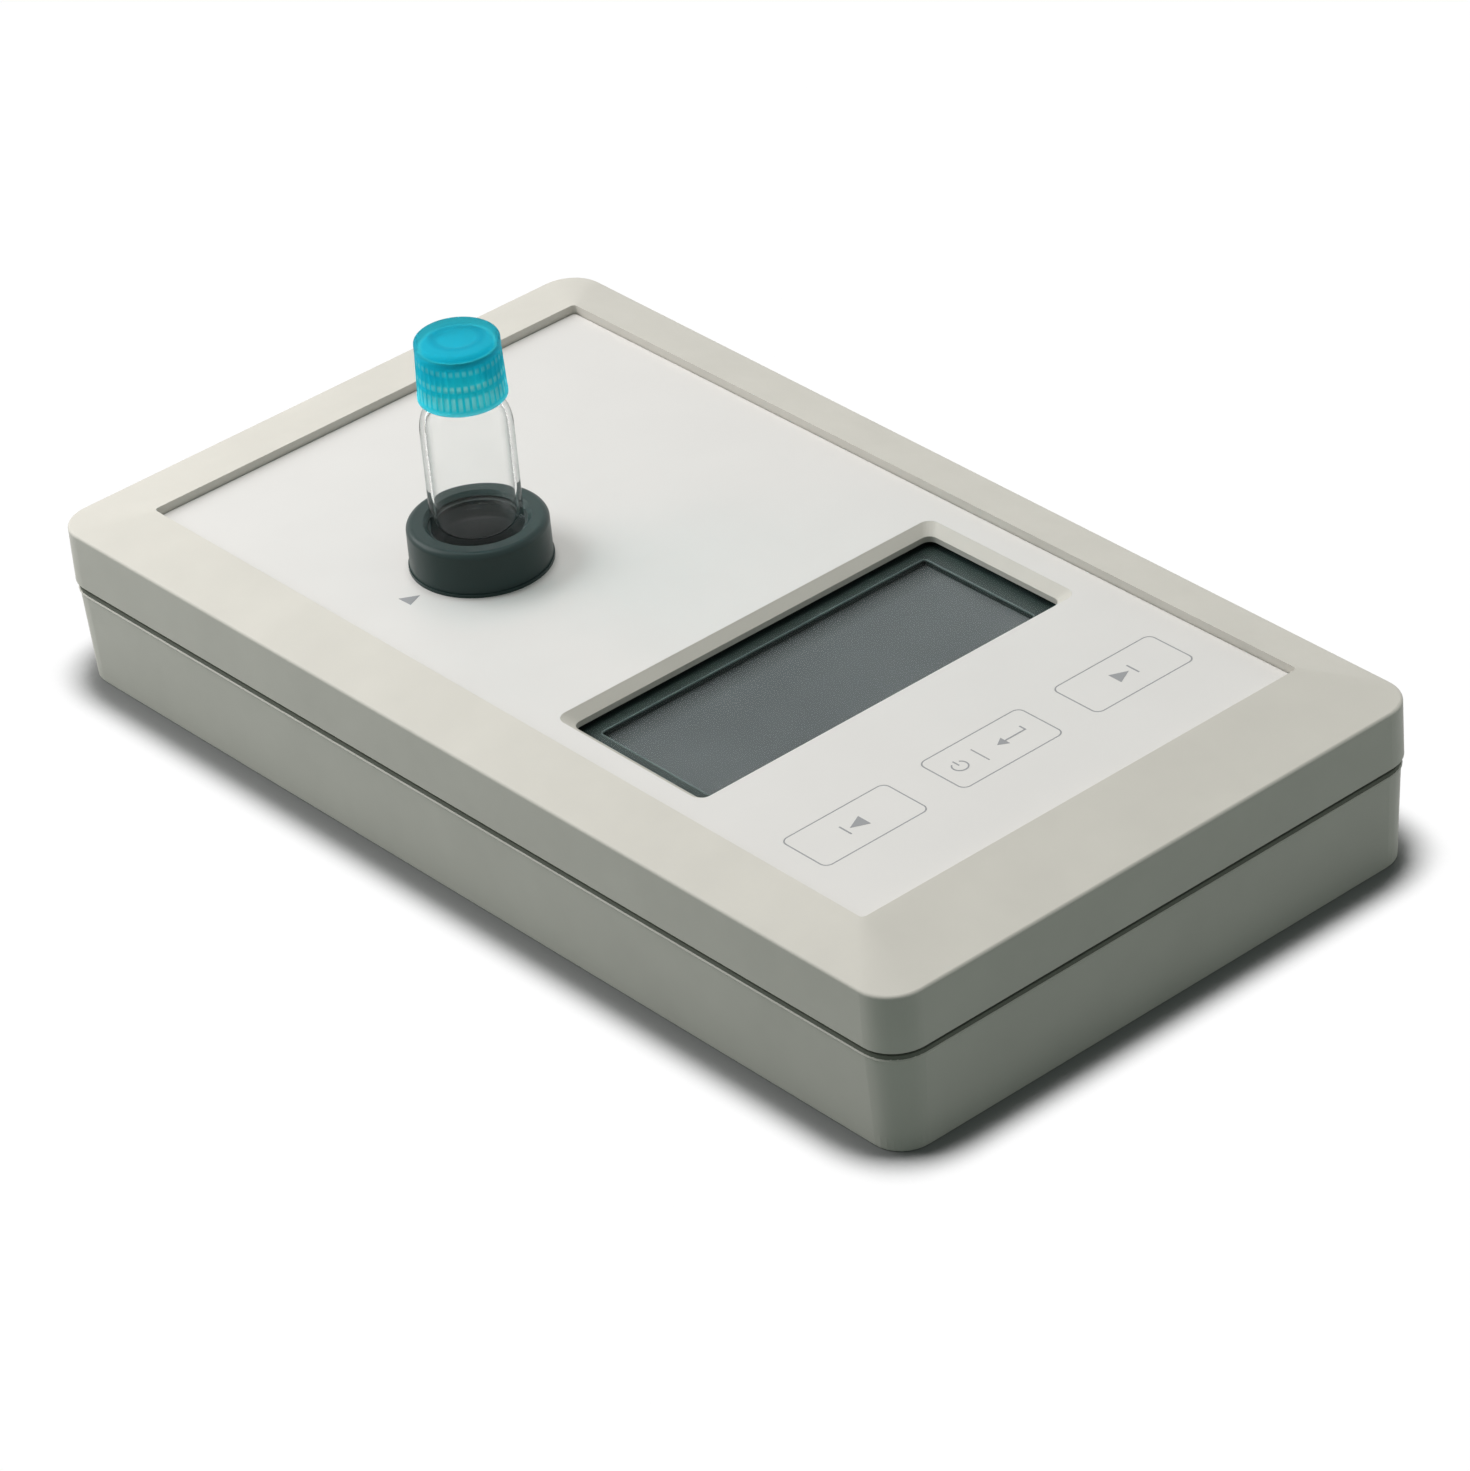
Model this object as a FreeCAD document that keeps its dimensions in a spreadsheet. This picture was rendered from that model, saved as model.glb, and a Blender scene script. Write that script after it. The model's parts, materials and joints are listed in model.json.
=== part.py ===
# Bench photometer with a screw-capped round vial in its measuring collar
# Units are millimetres. +X is right, +Y is away from the user, +Z is up.
# The origin is the middle of the surface that the rubber feet stand on.
import FreeCAD, Part
import math
import os
import re
import Sketcher

SIZES = {
    # case outline and heights
    "case_width": 114.0, "case_length": 205.2, "case_narrowing": 2.4, "corner_radius": 6.5,
    "foot_proud": 1.2, "lower_height": 16.4, "shadow_gap": 1.4, "side_height": 10.15,
    "rim_rise": 2.98, "rim_side": 11.4, "rim_front": 16.5, "rim_rear": 13.9,
    "recess_radius": 0.8, "rim_softness": 0.55, "base_softness": 1.2,
    "wall": 2.5, "plate_thick": 2.2, "floor_thick": 2.5,
    "lower_inset_top": 0.35, "lower_inset_base": 1.2,
    "lip_thick": 1.3, "lip_height": 3.2, "lip_gap": 0.2,
    "rib_thick": 1.4, "rib_depth": 1.6, "rib_pitch": 30.0, "rib_count": 5,
    # front foil
    "foil_depth": 1.63, "foil_thick": 0.4, "foil_gap": 0.15,
    # display window and display module
    "window_side": 6.15, "window_length": 33.8, "window_radius": 1.6, "window_y": -25.5,
    "window_margin": 0.45,
    "pane_thick": 0.8, "pane_lap": 2.6, "gasket_thick": 0.3, "gasket_lap": 0.25,
    "bezel_side": 8.95, "bezel_end": 2.9, "bezel_height": 6.8, "bezel_sheet": 1.0,
    "view_side": 4.95, "view_end": 3.9, "glass_inset": 1.1, "glass_thick": 2.2,
    "light_guide_thick": 3.0, "strip_gap": 1.0, "strip_width": 2.4,
    "lcd_board_side": 0.85, "lcd_board_end": 10.2, "board_thick": 1.6,
    "lcd_post_inset": 2.8, "lcd_post": 5.4,
    # keys
    "key_side": 6.85, "key_space": 7.4, "key_length": 10.1, "key_radius": 1.2, "key_y": -65.3,
    "key_gap": 0.25, "key_flange_lap": 1.4, "key_flange_thick": 0.8, "key_travel": 0.4,
    "plunger": 4.0, "plunger_length": 0.9, "key_spare": 0.1,
    "dome": 9.0, "dome_height": 0.7, "pad_board_thick": 1.2, "pad_board_end": 4.45,
    "pad_post_space": 3.5, "pad_post_inset": 3.6, "pad_post_end": 2.7, "pad_post": 4.6,
    "pad_screw_length": 4.6,
    # measuring collar, seal and optical block
    "well_x": -17.4, "well_y": 37.3, "collar_top": 23.5, "collar_base": 24.0,
    "collar_height": 8.0, "collar_lip": 0.6, "collar_round": 1.1, "collar_bevel": 0.7,
    "spigot": 19.4, "spigot_length": 7.0, "spigot_gap": 0.15, "nut_across": 26.0,
    "nut_flats": 23.4, "nut_sides": 6, "nut_thick": 3.0, "thread_gap": 0.05,
    "bore_gap": 0.55, "seal_section": 1.4, "seal_depth": 0.9, "seal_gap": 0.05,
    "block_width": 36.0, "block_length": 26.0, "block_floor": 2.0, "block_clear": 0.3,
    "beam_height": 4.4, "emitter": 5.0, "emitter_spacing": 6.8, "emitter_gap": 0.1,
    "emitter_flange": 5.8, "emitter_flange_thick": 1.0, "emitter_setback": 3.0,
    "filter_across": 6.4, "filter_thick": 1.5, "detector": 6.4, "detector_length": 4.2, "beam": 3.0,
    "side_board_thick": 1.2,
    "side_board_length": 20.0, "side_board_height": 9.6,
    # vial and cap
    "vial": 15.3, "vial_wall": 1.1, "vial_base": 1.8, "vial_body_height": 21.6,
    "vial_shoulder": 3.0, "vial_neck": 12.0, "vial_neck_height": 9.1, "vial_neck_wall": 1.5,
    "heel_radius": 0.9, "shoulder_radius": 5.0, "vial_seat": 2.6, "measuring_depth": 22.4,
    "vial_stand_off": 0.3,
    "cap_base": 14.7, "cap_top": 14.0, "cap_height": 10.7, "cap_bore": 12.8, "cap_roof": 1.5,
    "cap_round": 0.7, "cap_dimple": 6.4, "cap_dimple_depth": 0.5, "liner_thick": 1.0,
    "liner_gap": 0.3, "liner_lift": 0.02,
    # electronics in the case
    "board_side": 13.0, "board_front": -24.0, "board_end": 16.6,
    "board_post_inset": 5.5, "board_post": 6.4, "board_hole": 2.6,
    "board_screw_head": 4.6, "board_screw_head_height": 1.6, "board_screw_length": 6.0,
    "pilot_spare": 0.4,
    "chip": 12.0, "chip_height": 1.6, "chip_side": 20.0, "chip_end": 52.0, "chip_pitch": 16.0,
    "capacitor": 6.3, "capacitor_height": 8.0, "capacitor_side": 6.0, "capacitor_count": 3,
    "buzzer": 12.0, "buzzer_height": 6.0, "buzzer_end": 14.0,
    "tail_width": 12.0, "tail_thick": 0.3, "tail_x": 22.0, "tail_lift": 0.7,
    "connector_y": -17.0, "connector_depth": 5.0, "connector_height": 2.4,
    # batteries, their compartment and door
    "cell": 10.5, "cell_length": 44.0, "cell_pitch": 11.0, "cell_count": 4, "cell_nub": 3.8,
    "cell_nub_length": 1.0, "cell_gap": 0.35, "tub_x": 0.0, "tub_y": -52.0,
    "tub_wall": 1.6, "contact_thick": 0.4, "contact_width": 8.0, "contact_bump": 4.5,
    "contact_bump_length": 2.2, "door_thick": 1.6, "door_lap": 1.5, "door_gap": 0.25,
    "hook_x": 14.0, "hook_width": 6.0, "hook_thick": 1.0, "hook_reach": 1.9, "hook_gap": 0.15,
    "hook_room": 0.6, "slot_spare": 1.0,
    "latch_width": 12.0, "latch_height": 3.6, "grip_width": 14.0, "grip_depth": 0.5,
    "grip_groove": 1.2, "grip_pitch": 2.4, "grip_count": 4, "grip_inset": 4.0,
    # case screws and feet
    "boss_inset": 10.5, "upper_boss": 7.4, "lower_boss": 9.4,
    "screw": 3.0, "screw_gap": 0.2, "screw_head": 5.6, "screw_head_height": 2.2,
    "screw_head_gap": 0.3, "screw_sink": 6.0, "screw_length": 16.0, "pilot_gap": 0.05,
    "foot": 10.0, "foot_narrowing": 1.0, "foot_sink": 0.8, "foot_side": 17.0, "foot_end": 18.6,
}

# Heights, each worked out from the driving sizes
Z_BASE = "foot_proud"
Z_FLOOR = "foot_proud + floor_thick"
Z_LOW = "foot_proud + lower_height"
Z_PART = Z_LOW + " + shadow_gap / 2"
Z_UP = Z_LOW + " + shadow_gap"
Z_RIM = Z_UP + " + side_height"
Z_CREST = Z_RIM + " + rim_rise"
Z_FOIL = Z_CREST + " - foil_depth"
Z_SEAT = Z_FOIL + " - foil_thick"
Z_UNDER = Z_SEAT + " - plate_thick"
Z_PANE = Z_UNDER + " - pane_thick"
Z_BEZEL = Z_PANE + " - gasket_thick"
Z_GLASS = Z_BEZEL + " - bezel_sheet"
Z_GUIDE = Z_GLASS + " - glass_thick"
Z_LCD_BOARD = Z_BEZEL + " - bezel_height"
Z_KEY_FLANGE = Z_UNDER + " - key_flange_thick"
Z_PLUNGER = Z_KEY_FLANGE + " - plunger_length"
Z_DOME = Z_PLUNGER + " - key_travel - key_spare"
Z_PAD_BOARD = Z_DOME + " - dome_height"
Z_MOUTH = Z_FOIL + " + collar_height"
Z_VIAL = Z_MOUTH + " - vial_seat"
Z_WELL = Z_VIAL + " - measuring_depth - vial_stand_off"
Z_BLOCK = Z_WELL + " - block_floor"
Z_BOARD = Z_BLOCK + " - board_thick"
Z_BLOCK_TOP = Z_FOIL + " - spigot_length - block_clear"
Z_BEAM = Z_WELL + " + beam_height"
Z_CELL = "foot_proud + door_thick + cell_gap + cell / 2"
Z_TUB = Z_CELL + " + cell / 2 + cell_gap"

# Plan sizes shared by several pieces
RECESS_WIDTH = "(case_width - 2 * rim_side)"
RECESS_LENGTH = "(case_length - rim_front - rim_rear)"
RECESS_Y = "((rim_front - rim_rear) / 2)"
WINDOW_WIDTH = "(%s - 2 * window_side)" % RECESS_WIDTH
BEZEL_WIDTH = "(%s + 2 * bezel_side)" % WINDOW_WIDTH
BEZEL_LENGTH = "(window_length + 2 * bezel_end)"
GLASS_WIDTH = "(%s - 2 * bezel_sheet - 2 * glass_inset)" % BEZEL_WIDTH
GLASS_LENGTH = "(%s - 2 * bezel_sheet - 2 * glass_inset)" % BEZEL_LENGTH
LCD_WIDTH = "(%s + 2 * lcd_board_side)" % BEZEL_WIDTH
LCD_LENGTH = "(%s + 2 * lcd_board_end)" % BEZEL_LENGTH
KEY_WIDTH = "((%s - 2 * key_side - 2 * key_space) / 3)" % RECESS_WIDTH
KEY_PITCH = "(%s + key_space)" % KEY_WIDTH
PAD_POST_X = "(%s + %s / 2 + key_gap + key_flange_lap + pad_post_space)" % (KEY_PITCH, KEY_WIDTH)
PAD_WIDTH = "(2 * %s + 2 * pad_post_inset)" % PAD_POST_X
PAD_LENGTH = "(key_length + 2 * pad_board_end)"
BOARD_WIDTH = "(case_width - 2 * board_side)"
BOARD_REAR = "(case_length / 2 - board_end)"
CHIP_X = "(%s / 2 - chip_side)" % BOARD_WIDTH
CHIP_Y = "(%s - chip_end)" % BOARD_REAR
BORE = "(vial + 2 * bore_gap)"
TUB_WIDTH = "(cell_length + 2 * contact_bump_length + 2 * contact_thick + cell_nub_length)"
TUB_LENGTH = "(cell_count * cell_pitch + 2 * cell_gap + hook_room)"
TUB_FRONT = "(tub_y - %s / 2)" % TUB_LENGTH
TUB_REAR = "(tub_y + %s / 2)" % TUB_LENGTH

doc = FreeCAD.newDocument("photometer")
sheet = doc.addObject("Spreadsheet::Sheet", "sizes")
for row, (word, value) in enumerate(SIZES.items(), start=1):
    sheet.set("A%d" % row, word)
    sheet.set("B%d" % row, str(value))
    sheet.setAlias("B%d" % row, word)
doc.recompute()
NODES = {}
NEAR = 0.01  # millimetres within which an edge counts as lying at a radius or height


# Expressions
def number(text):
    return float(sheet.evalExpression(text))


def linked(text):
    return re.sub(r"[a-z_]+", lambda m: "sizes." + m.group(0) if m.group(0) in SIZES else m.group(0), text)


def bind(thing, slot, text):
    thing.setExpression(slot, linked(text))


def place(thing, x="0", y="0", z="0"):
    for axis, text in (("x", x), ("y", y), ("z", z)):
        if text != "0":
            bind(thing, "Placement.Base." + axis, text)
    return thing


def node(thing, label):
    thing.Label = label
    NODES[label] = thing
    return thing


# Sketches
def new_body(label):
    body = doc.addObject("PartDesign::Body", label + "_body")
    return node(body, label)


def sketch_on(body, role, height="0"):
    plane = [item for item in body.Origin.OriginFeatures if item.Role == role][0]
    sketch = body.newObject("Sketcher::SketchObject", body.Name + "_sketch")
    sketch.AttachmentSupport = [(plane, "")]
    sketch.MapMode = "FlatFace"
    if height != "0":
        bind(sketch, "AttachmentOffset.Base.z", height)
    return sketch


def hold(sketch, kind, items, text):
    value = number(text)
    index = sketch.addConstraint(Sketcher.Constraint(kind, *items, value))
    bind(sketch, "Constraints[%d]" % index, text)


def polygon(sketch, points):
    spots = [FreeCAD.Vector(number(x), number(y), 0) for x, y in points]
    first = sketch.GeometryCount
    count = len(points)
    for i in range(count):
        sketch.addGeometry(Part.LineSegment(spots[i], spots[(i + 1) % count]))
    for i in range(count):
        after = first + (i + 1) % count
        sketch.addConstraint(Sketcher.Constraint("Coincident", first + i, 2, after, 1))
    for i, (x, y) in enumerate(points):
        hold(sketch, "DistanceX", (-1, 1, first + i, 1), x)
        hold(sketch, "DistanceY", (-1, 1, first + i, 1), y)


def circle(sketch, x, y, across):
    centre = FreeCAD.Vector(number(x), number(y), 0)
    index = sketch.addGeometry(Part.Circle(centre, FreeCAD.Vector(0, 0, 1), number(across) / 2))
    hold(sketch, "DistanceX", (-1, 1, index, 3), x)
    hold(sketch, "DistanceY", (-1, 1, index, 3), y)
    hold(sketch, "Diameter", (index,), across)


def rounded(sketch, x, y, width, length, radius, narrowing="0"):
    # four lines joined by four tangent corner arcs, centred on x, y and narrower at the front
    r, quarter = number(radius), math.pi / 2
    half_w, half_l, front_w = number(width) / 2 - r, number(length) / 2 - r, number(narrowing) / 2
    middle, up = FreeCAD.Vector(number(x), number(y), 0), FreeCAD.Vector(0, 0, 1)
    centres = [middle + FreeCAD.Vector(*spot) for spot in (
        (front_w - half_w, -half_l), (half_w - front_w, -half_l), (half_w, half_l), (-half_w, half_l))]
    count = len(centres)
    first = sketch.GeometryCount
    arcs = [first + 2 * i for i in range(count)]
    for i in range(count):
        start, end = math.pi + i * quarter, math.pi + (i + 1) * quarter
        reach = FreeCAD.Vector(math.cos(end), math.sin(end), 0) * r
        sketch.addGeometry(Part.ArcOfCircle(Part.Circle(centres[i], up, r), start, end))
        sketch.addGeometry(Part.LineSegment(centres[i] + reach, centres[(i + 1) % count] + reach))
    for i in range(count):
        line = arcs[i] + 1
        sketch.addConstraint(Sketcher.Constraint("Tangent", arcs[i], 2, line, 1))
        sketch.addConstraint(Sketcher.Constraint("Tangent", line, 2, arcs[(i + 1) % count], 1))
        if i % 2 == 0:
            sketch.addConstraint(Sketcher.Constraint("Horizontal", line))
        elif narrowing == "0":
            sketch.addConstraint(Sketcher.Constraint("Vertical", line))
        if i:
            sketch.addConstraint(Sketcher.Constraint("Equal", first, arcs[i]))
    front_left, front_right, rear_right, rear_left = arcs
    across = "(%s) - 2 * (%s)" % (width, radius)
    hold(sketch, "Radius", (first,), radius)
    hold(sketch, "DistanceX", (front_left, 3, front_right, 3), "%s - (%s)" % (across, narrowing))
    if narrowing != "0":
        hold(sketch, "DistanceX", (rear_left, 3, rear_right, 3), across)
        hold(sketch, "DistanceX", (front_right, 3, rear_right, 3), "(%s) / 2" % narrowing)
    hold(sketch, "DistanceY", (front_right, 3, rear_right, 3), "(%s) - 2 * (%s)" % (length, radius))
    hold(sketch, "DistanceX", (-1, 1, rear_right, 3), "(%s) + (%s) / 2 - (%s)" % (x, width, radius))
    hold(sketch, "DistanceY", (-1, 1, rear_right, 3), "(%s) + (%s) / 2 - (%s)" % (y, length, radius))


# Features of a body
def swell(body, kind, sketch, length, reverse=False):
    before = body.Shape.Volume if body.Tip else 0.0
    feature = body.newObject("PartDesign::" + kind, body.Name + "_" + kind.lower())
    feature.Profile = sketch
    bind(feature, "Length", length)
    feature.Reversed = reverse
    doc.recompute()
    change = body.Shape.Volume - before
    if (change <= 0) == (kind == "Pad"):
        raise ValueError("%s of %s changed the volume by %.3f" % (kind, body.Label, change))
    return feature


def pad(body, sketch, length, reverse=False):
    return swell(body, "Pad", sketch, length, reverse)


def pocket(body, sketch, length, up=False):
    # a pocket runs down from its sketch, or up from it when up is set
    return swell(body, "Pocket", sketch, length, up)


def loft(body, lower, upper):
    feature = body.newObject("PartDesign::AdditiveLoft", body.Name + "_loft")
    feature.Profile = lower
    feature.Sections = [upper]
    feature.Ruled = True
    doc.recompute()
    return feature


def revolve(body, points):
    sketch = sketch_on(body, "XZ_Plane")
    polygon(sketch, points)
    feature = body.newObject("PartDesign::Revolution", body.Name + "_turned")
    feature.Profile = sketch
    feature.ReferenceAxis = (sketch, ["V_Axis"])
    feature.Angle = 360
    doc.recompute()
    return feature


def soften(body, radius, wanted):
    base = body.Tip
    names = ["Edge%d" % (i + 1) for i, edge in enumerate(base.Shape.Edges) if wanted(edge)]
    feature = body.newObject("PartDesign::Fillet", body.Name + "_fillet")
    feature.Base = (base, names)
    bind(feature, "Radius", radius)
    doc.recompute()
    return feature


def ring_at(radius, height):
    # picks the circular edge of that radius whose centre is at that height
    def wanted(edge):
        curve = edge.Curve
        if not isinstance(curve, Part.Circle) or not edge.isClosed():
            return False
        return abs(curve.Radius - number(radius)) < NEAR and abs(curve.Center.z - number(height)) < NEAR
    return wanted


def level_at(height, half_width, half_length):
    # picks the level edges of the outermost outline at that height
    def wanted(edge):
        box = edge.BoundBox
        z = number(height)
        outer = max(abs(box.XMin), abs(box.XMax)) > number(half_width) - NEAR
        outer = outer or max(abs(box.YMin), abs(box.YMax)) > number(half_length) - NEAR
        return abs(box.ZMin - z) < NEAR and abs(box.ZMax - z) < NEAR and outer
    return wanted


# Primitives and booleans
def box(size, x="0", y="0", z="0"):
    # x and y are the middle of the box, z is its underside
    block = doc.addObject("Part::Box", "block")
    for slot, text in zip(("Length", "Width", "Height"), size):
        bind(block, slot, text)
    return place(block, "(%s) - (%s) / 2" % (x, size[0]), "(%s) - (%s) / 2" % (y, size[1]), z)


def rod(across, length, x="0", y="0", z="0", along="z"):
    # x, y, z is the middle of the end that the rod starts from
    cylinder = doc.addObject("Part::Cylinder", "rod")
    bind(cylinder, "Radius", "(%s) / 2" % across)
    bind(cylinder, "Height", length)
    if along == "x":
        cylinder.Placement.Rotation = FreeCAD.Rotation(FreeCAD.Vector(0, 1, 0), 90)
    return place(cylinder, x, y, z)


def taper(across_low, across_high, length, x, y, z):
    cone = doc.addObject("Part::Cone", "taper")
    bind(cone, "Radius1", "(%s) / 2" % across_low)
    bind(cone, "Radius2", "(%s) / 2" % across_high)
    bind(cone, "Height", length)
    return place(cone, x, y, z)


def joined(*pieces):
    if len(pieces) == 1:
        return pieces[0]
    fused = doc.addObject("Part::MultiFuse", "joined")
    fused.Shapes = list(pieces)
    return fused


def cut(base, *tools):
    result = doc.addObject("Part::Cut", "cut")
    result.Base = base
    result.Tool = joined(*tools)
    return result


def group(label, pieces):
    bundle = doc.addObject("Part::Compound", label)
    bundle.Links = list(pieces)
    return node(bundle, label)


def corners(x, y):
    return [("%s(%s)" % (sx, x), "%s(%s)" % (sy, y)) for sx in ("-", "") for sy in ("-", "")]


KEYS = (("key_left", "-" + KEY_PITCH), ("key_middle", "0"), ("key_right", KEY_PITCH))
BOSSES = corners("case_width / 2 - boss_inset", "case_length / 2 - boss_inset")
FEET = corners("case_width / 2 - foot_side", "case_length / 2 - foot_end")
BOARD_POSTS = [("%s(%s / 2 - board_post_inset)" % (side, BOARD_WIDTH), y) for side in ("-", "")
               for y in ("board_front + board_post_inset", BOARD_REAR + " - board_post_inset")]
LCD_POSTS = [(x, "window_y + (%s)" % y)
             for x, y in corners(LCD_WIDTH + " / 2 - lcd_post_inset", LCD_LENGTH + " / 2 - lcd_post_inset")]
PAD_POSTS = [(x, "key_y + (%s)" % y) for x, y in corners(PAD_POST_X, PAD_LENGTH + " / 2 - pad_post_end")]


# Case
def upper_shell():
    body = new_body("upper_shell")
    outline = sketch_on(body, "XY_Plane", Z_UP)
    rounded(outline, "0", "0", "case_width", "case_length", "corner_radius", "case_narrowing")
    pad(body, outline, "side_height")
    foot = sketch_on(body, "XY_Plane", Z_RIM)
    rounded(foot, "0", "0", "case_width", "case_length", "corner_radius", "case_narrowing")
    crest = sketch_on(body, "XY_Plane", Z_CREST)
    rounded(crest, "0", RECESS_Y, RECESS_WIDTH, RECESS_LENGTH, "recess_radius")
    loft(body, foot, crest)
    soften(body, "rim_softness", level_at(Z_RIM, "case_width / 2", "case_length / 2"))

    recess = sketch_on(body, "XY_Plane", Z_CREST)
    rounded(recess, "0", RECESS_Y, RECESS_WIDTH, RECESS_LENGTH, "recess_radius")
    pocket(body, recess, "foil_depth + foil_thick")
    hollow = sketch_on(body, "XY_Plane", Z_UP)
    rounded(hollow, "0", "0", "case_width - 2 * wall", "case_length - 2 * wall", "corner_radius - wall",
            "case_narrowing")
    pocket(body, hollow, "(%s) - (%s)" % (Z_UNDER, Z_UP), up=True)

    # ribs that stiffen the long walls above the lip of the lower shell
    for side in ("-", ""):
        rib = sketch_on(body, "XY_Plane", Z_LOW + " + lip_height + lip_gap")
        wall_face = "%s(case_width / 2 - wall)" % side
        rib_face = "%s(case_width / 2 - wall - rib_depth)" % side
        low = "-rib_pitch * (rib_count - 1) / 2 - rib_thick / 2"
        high = "-rib_pitch * (rib_count - 1) / 2 + rib_thick / 2"
        polygon(rib, [(wall_face, low), (rib_face, low), (rib_face, high), (wall_face, high)])
        first = pad(body, rib, "(%s) - (%s) - lip_height - lip_gap" % (Z_UNDER, Z_LOW))
        row = body.newObject("PartDesign::LinearPattern", "rib_row")
        row.Originals = [first]
        row.Direction = (rib, ["V_Axis"])
        bind(row, "Length", "rib_pitch * (rib_count - 1)")
        bind(row, "Occurrences", "rib_count")
        body.Tip = row
        doc.recompute()

    posts = sketch_on(body, "XY_Plane", Z_PART)
    for x, y in BOSSES:
        circle(posts, x, y, "upper_boss")
    pad(body, posts, "(%s) - (%s)" % (Z_UNDER, Z_PART))
    screw_holes = sketch_on(body, "XY_Plane", Z_PART)
    for x, y in BOSSES:
        circle(screw_holes, x, y, "screw + 2 * pilot_gap")
    pocket(body, screw_holes, "screw_length - (%s) + foot_proud + screw_sink + pilot_spare" % Z_PART,
           up=True)
    hung_boards = (
        (LCD_POSTS, "lcd_post", Z_LCD_BOARD, "board_screw_length - board_thick"),
        (PAD_POSTS, "pad_post", Z_PAD_BOARD, "pad_screw_length - pad_board_thick"))
    for spots, across, low, depth in hung_boards:
        posts = sketch_on(body, "XY_Plane", low)
        for x, y in spots:
            circle(posts, x, y, across)
        pad(body, posts, "(%s) - (%s)" % (Z_UNDER, low))
        holes = sketch_on(body, "XY_Plane", low)
        for x, y in spots:
            circle(holes, x, y, "board_hole - 2 * screw_gap")
        pocket(body, holes, depth + " + pilot_spare", up=True)

    openings = sketch_on(body, "XY_Plane", Z_SEAT)
    rounded(openings, "0", "window_y", WINDOW_WIDTH, "window_length", "window_radius")
    for label, x in KEYS:
        rounded(openings, x, "key_y", KEY_WIDTH + " + 2 * key_gap", "key_length + 2 * key_gap",
                "key_radius + key_gap")
    circle(openings, "well_x", "well_y", "spigot + 2 * spigot_gap")
    pocket(body, openings, "plate_thick")


def lower_shell():
    body = new_body("lower_shell")
    base = sketch_on(body, "XY_Plane", Z_BASE)
    rounded(base, "0", "0", "case_width - 2 * lower_inset_base", "case_length - 2 * lower_inset_base",
            "corner_radius - lower_inset_base + lower_inset_top", "case_narrowing")
    drafted = pad(body, base, "lower_height")
    bind(drafted, "TaperAngle", "atan((lower_inset_base - lower_inset_top) / lower_height)")
    doc.recompute()
    soften(body, "base_softness", level_at(Z_BASE, "case_width / 2 - lower_inset_base",
                                           "case_length / 2 - lower_inset_base"))
    lip = sketch_on(body, "XY_Plane", Z_LOW)
    lip_width = "case_width - 2 * (wall + lip_gap)"
    lip_length = "case_length - 2 * (wall + lip_gap)"
    rounded(lip, "0", "0", lip_width, lip_length, "corner_radius - wall - lip_gap", "case_narrowing")
    pad(body, lip, "lip_height")
    hollow = sketch_on(body, "XY_Plane", Z_LOW + " + lip_height")
    rounded(hollow, "0", "0", lip_width + " - 2 * lip_thick", lip_length + " - 2 * lip_thick",
            "corner_radius - wall - lip_gap - lip_thick", "case_narrowing")
    pocket(body, hollow, "(%s) + lip_height - (%s)" % (Z_LOW, Z_FLOOR))

    # battery tub standing on the floor, open downwards
    tub = sketch_on(body, "XY_Plane", Z_BASE)
    polygon(tub, rectangle("tub_x", "tub_y", TUB_WIDTH + " + 2 * tub_wall", TUB_LENGTH + " + 2 * tub_wall"))
    pad(body, tub, "(%s) + tub_wall - foot_proud" % Z_TUB)
    room = sketch_on(body, "XY_Plane", Z_BASE)
    polygon(room, rectangle("tub_x", "tub_y", TUB_WIDTH, TUB_LENGTH))
    pocket(body, room, "(%s) - foot_proud" % Z_TUB, up=True)
    seat = sketch_on(body, "XY_Plane", Z_BASE)
    polygon(seat, rectangle("tub_x", "tub_y + door_lap / 2", TUB_WIDTH + " + 2 * door_lap",
                            TUB_LENGTH + " + door_lap"))
    pocket(body, seat, "door_thick", up=True)
    slots = sketch_on(body, "XY_Plane", Z_FLOOR)
    for side in ("-", ""):
        polygon(slots, rectangle("tub_x + (%shook_x)" % side, "(%s) - tub_wall / 2" % TUB_FRONT,
                                 "hook_width + 4 * hook_gap", "tub_wall + 2 * hook_gap"))
    pocket(body, slots, "hook_thick + 2 * hook_gap + slot_spare", up=True)

    # screw bosses with sunk heads, board posts and foot recesses
    posts = sketch_on(body, "XY_Plane", Z_BASE)
    for x, y in BOSSES:
        circle(posts, x, y, "lower_boss")
    pad(body, posts, "(%s) - foot_proud" % Z_PART)
    shanks = sketch_on(body, "XY_Plane", Z_BASE)
    for x, y in BOSSES:
        circle(shanks, x, y, "screw + 2 * screw_gap")
    pocket(body, shanks, "(%s) - foot_proud" % Z_PART, up=True)
    sinks = sketch_on(body, "XY_Plane", Z_BASE)
    for x, y in BOSSES:
        circle(sinks, x, y, "screw_head + 2 * screw_head_gap")
    pocket(body, sinks, "screw_sink", up=True)
    posts = sketch_on(body, "XY_Plane", Z_FLOOR)
    for x, y in BOARD_POSTS:
        circle(posts, x, y, "board_post")
    pad(body, posts, "(%s) - (%s)" % (Z_BOARD, Z_FLOOR))
    holes = sketch_on(body, "XY_Plane", Z_BOARD)
    for x, y in BOARD_POSTS:
        circle(holes, x, y, "board_hole - 2 * screw_gap")
    pocket(body, holes, "board_screw_length - board_thick + pilot_spare")
    recesses = sketch_on(body, "XY_Plane", Z_BASE)
    for x, y in FEET:
        circle(recesses, x, y, "foot")
    pocket(body, recesses, "foot_sink", up=True)


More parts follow.
